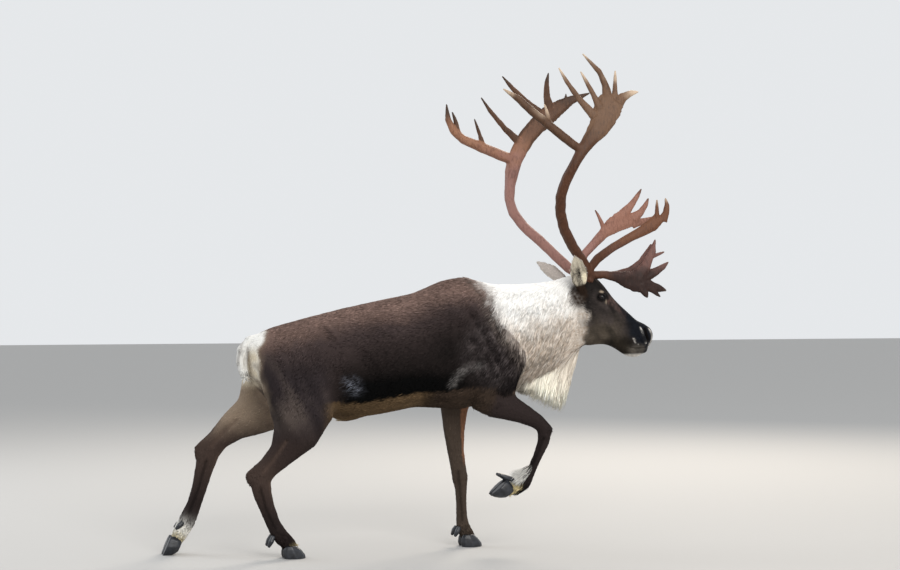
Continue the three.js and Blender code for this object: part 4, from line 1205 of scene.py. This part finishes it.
# Sows one region's tufts over the skin: their roots and ways, sizes and colours, in order from rear to front.
def sowTufts(name, s, base):
    weights = base.areas * sum(base.faceKinds[k] for k in s["kinds"]) * s["density"]
    weights = weights * 1.0
    if "where" in s:
        weights = weights * s["where"](base.middles)
    count = int(weights.sum())
    chosen, shares = sampleRoots(weights, count)
    corners = base.corners[chosen]
    roots = mixedRows(base.places, corners, shares)
    normals = unit(mixedRows(base.normals, corners, shares))
    kinds = kindTable(mixedRows(base.kinds, corners, shares))
    here = roots - offset
    lies = mixedRows(base.lie, corners, shares)
    lies = unit(lies - normals * (lies * normals).sum(1)[:, None])
    turn = dice.normal(0, s["turn"], count)[:, None]
    lies = unit(lies * np.cos(turn) + np.cross(normals, lies) * np.sin(turn))
    colours = coatColour(here + dice.normal(0, tuftSettings["colourJitter"], (count, 3)), normals, kinds)
    colours = colours * np.exp(dice.normal(0, s["variation"], count))[:, None]
    size = lengthAt(name, here)
    tufts = {
        "roots": roots, "normals": normals, "lies": lies, "colours": colours,
        "lengths": s["length"] * size * dice.uniform(*tuftSettings["sizeRange"], count),
        "widths": s["width"] * np.sqrt(size) * dice.uniform(*tuftSettings["sizeRange"], count),
        "slopes": np.tan(np.radians(s["lift"] * dice.uniform(*tuftSettings["liftRange"], count))),
        "patches": mixedRows(base.uvs, base.loops[chosen], shares),
    }
    covered = np.nonzero(bareSkin(headFrame(here)) * kinds["head"] < 0.5)[0]
    order = covered[np.argsort(here[covered, 0])]
    return {key: values[order] for key, values in tufts.items()}


# The triangles of one tuft: its root, its sides and its tip.
def tuftFaces(rings):
    faces = [(2, 1, 0)]
    for level in range(rings):
        base = level * 3
        for k in range(3):
            n = (k + 1) % 3
            faces += [(base + k, base + n, base + n + 3), (base + k, base + n + 3, base + k + 3)]
    base = rings * 3
    return np.array(faces + [(base + k, base + (k + 1) % 3, base + 3) for k in range(3)])


def triangleMesh(name, places, corners):
    mesh = bpy.data.meshes.new(name)
    mesh.vertices.add(len(places))
    mesh.vertices.foreach_set("co", places.astype(np.float32).ravel())
    mesh.loops.add(len(corners))
    mesh.loops.foreach_set("vertex_index", corners.astype(np.int32))
    triangles = len(corners) // 3
    mesh.polygons.add(triangles)
    mesh.polygons.foreach_set("loop_start", np.arange(0, len(corners), 3, dtype=np.int32))
    mesh.polygons.foreach_set("loop_total", np.full(triangles, 3, np.int32))
    mesh.update(calc_edges=True)
    return mesh


# The points of all tufts, one row of points for each tuft, and the tone of each point in a row.
def tuftPoints(s, tufts):
    lies, normals, lengths = tufts["lies"], tufts["normals"], tufts["lengths"][:, None]
    across = unit(np.cross(normals, lies))
    rootTone, tipTone = s["rootTone"], 1.72 - 0.7 * s["rootTone"]
    points, tones = [], []
    for share in np.linspace(0, 1, s["rings"] + 2):
        rise = lengths * share * tufts["slopes"][:, None] * (1 - tuftSettings["bend"] * share)
        middle = tufts["roots"] + lies * lengths * share + normals * (rise - tuftSettings["rootDepth"])
        middle[:, 2] -= s["sag"] * tufts["lengths"] * share ** 2 * 0.5
        half = tufts["widths"][:, None] * np.interp(share, tuftSettings["along"], tuftSettings["profile"])
        for side, up in tuftSettings["section"] if share < 1 else [(0, 0)]:
            points.append(middle + across * side * half + normals * up * half)
            tones.append(rootTone + (tipTone - rootTone) * share)
    return np.stack(points, 1), np.array(tones)


def tuftPiece(name, s, tufts, material):
    points, tones = tuftPoints(s, tufts)
    count, perTuft, _ = points.shape
    corners = (tuftFaces(s["rings"])[None] + (np.arange(count) * perTuft)[:, None, None]).reshape(-1)
    mesh = triangleMesh(name, points.reshape(-1, 3), corners)
    shades = tufts["colours"][:, None, :] * tones[None, :, None]
    writeColours(mesh, "coatColour", np.clip(shades, 0, 1).reshape(-1, 3))
    levels = s["rings"] + 2
    along = np.repeat(np.linspace(-1, 1, levels), 3)[:perTuft]
    aside = np.tile([-1, 1, 0], levels)[:perTuft]
    spots = tufts["patches"][:, None, :] + tuftSettings["patchHalf"] * np.stack([aside, along], 1)[None]
    uv = mesh.uv_layers.new(name="OFBake")
    uv.data.foreach_set("uv", spots.reshape(-1, 2)[corners].astype(np.float32).ravel())
    shadeSmooth(mesh)
    mesh.materials.append(material)
    return newPiece(name, mesh)


def growCoat(skin):
    base = CoatBase(skin.data)
    paintSkin(skin.data, base)
    material = furMaterial()
    for name, s in coats.items():
        tufts = sowTufts(name, s, base)
        trianglesEach = len(tuftFaces(s["rings"]))
        count = len(tufts["roots"])
        pieces = math.ceil(count * trianglesEach / tuftSettings["mostTriangles"])
        for i, group in enumerate(np.array_split(np.arange(count), pieces)):
            tag = name if pieces == 1 else f"{name}_{i + 1}"
            piece = tuftPiece(f"coat_{tag}", s, {key: v[group] for key, v in tufts.items()}, material)
            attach(piece, "root")
            print("coat", tag, len(group), "tufts", len(group) * trianglesEach, "triangles")


# The antlers. The smoothing rises from its share at thin walls to full at thick ones. The lumps have a size,
# a height and a seed. The burr is the rough ring at the foot of the beam; its X and Y are counted from the
# head's place. Tips are looked for in so many rounds of neighbours, and not nearer the burr than their reach.
antlerSettings = {
    "voxel": 0.0026,
    "smoothTimes": 64,
    "thinSmoothing": 0.22,
    "wallThickness": (0.012, 0.040),
    "thicknessBlend": 10,
    "farthestWall": 0.08,
    "grow": 0.0014,
    "lumps": [(0.060, 0.0009, 21), (0.022, 0.0002, 22)],
    "burrX": 0.05,
    "burrY": 0.05,
    "burrHeight": 1.178,
    "burrHalfHeight": 0.014,
    "burrFront": 0.83,
    "burrDepth": 0.004,
    "burrRoughness": 0.003,
    "tipRounds": 14,
    "tipLeastReach": 0.25,
}

# Tones of the bone, as red, green and blue from 0 to 255.
boneColours = {
    "right": {"beam": (76, 43, 23), "palm": (80, 54, 35), "tine": (104, 77, 57), "tip": (206, 184, 160),
              "bez": (104, 66, 44), "brow": (42, 21, 14), "browLight": (128, 90, 82)},
    "left": {"beam": (142, 103, 94), "palm": (146, 104, 80), "tine": (80, 54, 37), "tip": (60, 43, 32),
             "bez": (142, 100, 84), "brow": (58, 35, 28), "browLight": (128, 90, 82)},
}


# The places where an antler reaches farthest from its burr.
def tipPlaces(mesh, burr):
    places, edges = pointsOf(mesh), edgesOf(mesh)
    reach = np.linalg.norm(places - burr, axis=1)
    farthest = reach.copy()
    for _ in range(antlerSettings["tipRounds"]):
        np.maximum.at(farthest, edges[:, 0], farthest[edges[:, 1]])
        np.maximum.at(farthest, edges[:, 1], farthest[edges[:, 0]])
    return places[(reach >= farthest) & (reach > antlerSettings["tipLeastReach"])]


# The bone's colour: its own tones for the beam, the palms, the bez tine, the brow tine and thin tines, and
# rubbed tips.
def boneColour(side, animal, thickness, tipDistance):
    x, height = animal[:, 0], animal[:, 2]
    patchy = wave(animal, 0.05, 24)
    bone = Paint(linearAll(boneColours[side]), "beam", len(x))
    bone.lay("palm", fade(height + 0.04 * patchy, 1.62, 1.86))
    forward = fade(x, 0.80, 0.90) * below(height, 1.58, 1.66)
    bone.lay("bez", forward)
    low = forward * below(height - 0.35 * (x - 0.9), 1.30, 1.36)
    bone.lay("brow", low)
    bone.lay("browLight", low * fade(height + 0.015 * patchy, 1.19, 1.29) * 0.7)
    bone.lay("tine", below(thickness, 0.014, 0.030) * fade(height, 1.70, 1.84))
    upper = fade(height, 1.5, 1.7)
    rubbed = below(tipDistance + 0.008 * patchy, 0.004, 0.030 + 0.045 * upper)
    bone.lay("tip", rubbed * (0.45 + 0.45 * upper) * (1 - 0.9 * low))
    return bone.tones


# How thick a mesh is under each of its points, measured inwards.
def wallThickness(mesh):
    places, normals = pointsOf(mesh), normalsOf(mesh)
    cast = BVHTree.FromPolygons(places.tolist(), [tuple(p.vertices) for p in mesh.polygons]).ray_cast
    farthest = antlerSettings["farthestWall"]
    starts = places - normals * 0.0004
    pairs = zip(starts.tolist(), (-normals).tolist())
    return np.array([cast(start, normal, farthest)[3] or farthest for start, normal in pairs])


def roughenAntler(mesh, thickness):
    s = antlerSettings
    places = pointsOf(mesh)
    animal = places - offset
    lumps = sum(wave(animal, size, seed) * height for size, height, seed in s["lumps"])
    onBurr = ridge(animal[:, 2] - s["burrHeight"], s["burrHalfHeight"]) * (animal[:, 0] < s["burrFront"])
    burr = onBurr * (s["burrDepth"] + s["burrRoughness"] * wave(animal, 0.012, 23))
    raised = s["grow"] + lumps * fade(thickness, 0.006, 0.02) + burr
    setPoints(mesh, places + normalsOf(mesh) * raised[:, None])


def makeAntler(side, material):
    s = antlerSettings
    names = [f"antler_{side}_{part}" for part in ("beam", "crown", "rear_tine", "bez_tine", "brow_tine")]
    antler = remeshed(nodeCopy(f"antler_{side}", names), s["voxel"])
    thickness = spread(wallThickness(antler.data)[:, None], edgesOf(antler.data), s["thicknessBlend"])[:, 0]
    thin = s["thinSmoothing"]
    smoothed(antler, s["smoothTimes"], thin + (1 - thin) * fade(thickness, *s["wallThickness"]))
    mesh = antler.data
    places = pointsOf(mesh)
    roughenAntler(mesh, thickness)
    burrY = s["burrY"] if side == "left" else -s["burrY"]
    tips = tipPlaces(mesh, headPlace + (s["burrX"], burrY, s["burrHeight"]) + offset)
    tipDistance = np.min([np.linalg.norm(places - tip, axis=1) for tip in tips], axis=0)
    writeColours(mesh, "boneColour", boneColour(side, places - offset, thickness, tipDistance))
    shadeSmooth(mesh)
    mesh.materials.append(material)
    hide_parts(*names)
    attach(antler, "root")
    print("antler", side, len(mesh.polygons))


hoofSettings = {"voxel": 0.0022, "smoothTimes": 10, "grow": 0.0008}


def makeHooves(foot, material):
    names = [f"{part}_{foot}_{toe}" for part in ("hoof", "dewclaw") for toe in ("a", "b")]
    hooves = remeshed(nodeCopy(f"hooves_{foot}", names), hoofSettings["voxel"])
    smoothed(hooves, hoofSettings["smoothTimes"])
    mesh = hooves.data
    places = pointsOf(mesh) + normalsOf(mesh) * hoofSettings["grow"]
    places[:, 2] = np.maximum(places[:, 2], 0)
    setPoints(mesh, places)
    shadeSmooth(mesh)
    mesh.materials.append(material)
    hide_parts(*names)
    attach(hooves, "root")
    print("hooves", foot, len(mesh.polygons))


# The eyeball. Its pole looks outwards and a little forwards, in the head's frame. The iris's colours, bulge
# and long, lying pupil begin at cosines of the angle from the pole; the iris darkens towards the pole.
ballSettings = {
    "segments": 48,
    "rings": 32,
    "forwards": 0.25,
    "upwards": 0.05,
    "bulge": 0.0012,
    "bulgeStart": 0.8,
    "iris": [(0.0, (44, 30, 26)), (0.62, (34, 22, 17)), (0.76, (18, 12, 10)), (0.86, (10, 7, 7))],
    "pupil": (6, 5, 6),
    "pupilHalfHeight": 0.22,
    "pupilStart": 0.86,
}


def eyeMaterial(side, centre, gaze):
    s = ballSettings
    material, shader = newMaterial(f"eye {side}", {"Roughness": 0.10, "Specular IOR Level": 0.32})

    def vectorMaths(operation, first, second, output):
        inputs = {0: first, 1: tuple(second)}
        return Socket.node("ShaderNodeVectorMath", {"operation": operation}, inputs, output)

    away = vectorMaths("SUBTRACT", objectPlaces(), centre, "Vector")

    def along(direction):
        return vectorMaths("DOT_PRODUCT", away, direction, "Value") / eyeSettings["radius"]

    front = along(gaze)
    slit = along((0, 0, 1)).maths("ABSOLUTE").maths("LESS_THAN", s["pupilHalfHeight"])
    pupil = slit * front.maths("GREATER_THAN", s["pupilStart"])
    feed(shader, "Base Color", blended(rampOf(front, s["iris"]), linear(s["pupil"]), pupil))
    return material


def makeEye(side):
    s = ballSettings
    sign = 1 if side == "left" else -1
    radius = eyeSettings["radius"]
    ball = bmesh.new()
    bmesh.ops.create_uvsphere(ball, u_segments=s["segments"], v_segments=s["rings"], radius=radius)
    look = Vector((s["forwards"], sign, s["upwards"])).normalized()
    turn = Vector((0, 0, 1)).rotation_difference(look).to_matrix().to_4x4()
    bmesh.ops.transform(ball, matrix=turn, verts=ball.verts)
    for vert in ball.verts:
        past = (vert.co.normalized().dot(look) - s["bulgeStart"]) / (1 - s["bulgeStart"])
        vert.co += look * s["bulge"] * max(0.0, past) ** 1.5
    x, y, z = eyeSettings["place"]
    centre = Vector(fromHeadFrame(np.array([[x, sign * y, z]]))[0]) + shift
    headTurn = Matrix.Rotation(headYaw, 3, "Z")
    bmesh.ops.rotate(ball, cent=(0, 0, 0), matrix=headTurn, verts=ball.verts)
    bmesh.ops.translate(ball, vec=centre, verts=ball.verts)
    mesh = bpy.data.meshes.new(f"eye_{side}_ball")
    ball.to_mesh(mesh)
    ball.free()
    eye = newPiece(f"eye_{side}_ball", mesh)
    shadeSmooth(mesh)
    mesh.materials.append(eyeMaterial(side, centre, headTurn @ look))
    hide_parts(f"eye_{side}")
    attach(eye, "root")
    print("eye", side)


# The studio: a large floor, a pale surround, three lamps with their place, size, power and colour, and the
# camera with the photograph's place and lens.
studioSettings = {
    "floorHalf": 30,
    "floorColour": (0.44, 0.435, 0.425, 1),
    "airColour": (0.83, 0.85, 0.87, 1),
    "airStrength": 0.95,
    "lampAim": (0, 0, 0.9),
    "lamps": {
        "key": ((0.8, -7.0, 4.4), 4.0, 400, (1.0, 0.97, 0.93)),
        "rim": ((3.2, 4.6, 4.6), 2.5, 300, (1.0, 0.9, 0.78)),
        "fill": ((-5.0, 3.0, 3.5), 4.0, 130, (0.9, 0.95, 1.0)),
    },
    "cameraPlace": (-2.0725, -8.2445, 1.1615),
    "cameraTurn": (math.radians(90), 0, math.radians(-15)),
    "lens": 77.28,
    "sensorWidth": 36,
    "farthest": 200,
}


def makeFloor():
    ground = bmesh.new()
    bmesh.ops.create_grid(ground, x_segments=1, y_segments=1, size=studioSettings["floorHalf"])
    mesh = bpy.data.meshes.new("studio floor")
    ground.to_mesh(mesh)
    ground.free()
    floor = newPiece("studio_floor", mesh)
    material, _ = newMaterial("floor", {"Base Color": studioSettings["floorColour"], "Roughness": 0.9})
    mesh.materials.append(material)


def makeLights():
    scene = bpy.context.scene
    world = bpy.data.worlds.new("studio air")
    world.use_nodes = True
    background = world.node_tree.nodes["Background"]
    background.inputs["Color"].default_value = studioSettings["airColour"]
    background.inputs["Strength"].default_value = studioSettings["airStrength"]
    scene.world = world
    for name, (place, size, power, colour) in studioSettings["lamps"].items():
        light = bpy.data.lights.new(name, "AREA")
        light.size = size
        light.energy = power
        light.color = colour
        lamp = bpy.data.objects.new(name, light)
        lamp.location = place
        aim = Vector(studioSettings["lampAim"]) - Vector(place)
        lamp.rotation_euler = aim.to_track_quat("-Z", "Y").to_euler()
        scene.collection.objects.link(lamp)


def makeCamera():
    scene = bpy.context.scene
    camera = bpy.data.cameras.new("photo camera")
    camera.sensor_width = studioSettings["sensorWidth"]
    camera.lens = studioSettings["lens"]
    camera.clip_end = studioSettings["farthest"]
    cameraPiece = bpy.data.objects.new("photo_camera", camera)
    cameraPiece.location = Vector(studioSettings["cameraPlace"]) + shift
    cameraPiece.rotation_euler = studioSettings["cameraTurn"]
    scene.collection.objects.link(cameraPiece)
    scene.camera = cameraPiece
    scene.view_settings.view_transform = "Standard"


# Everything is put together here.
skin = makeSkin()
sculptSkin(skin)
unwrapSkin(skin)
skin.data.materials.append(skinMaterial())
growCoat(skin)
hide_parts(*fleshNodes)
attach(skin, "root")
antlerBone = antlerMaterial()
for side in ("left", "right"):
    makeAntler(side, antlerBone)
    makeEye(side)
horn = hoofMaterial()
for foot in legNames:
    makeHooves(foot, horn)
makeFloor()
makeLights()
makeCamera()
print("studio set")
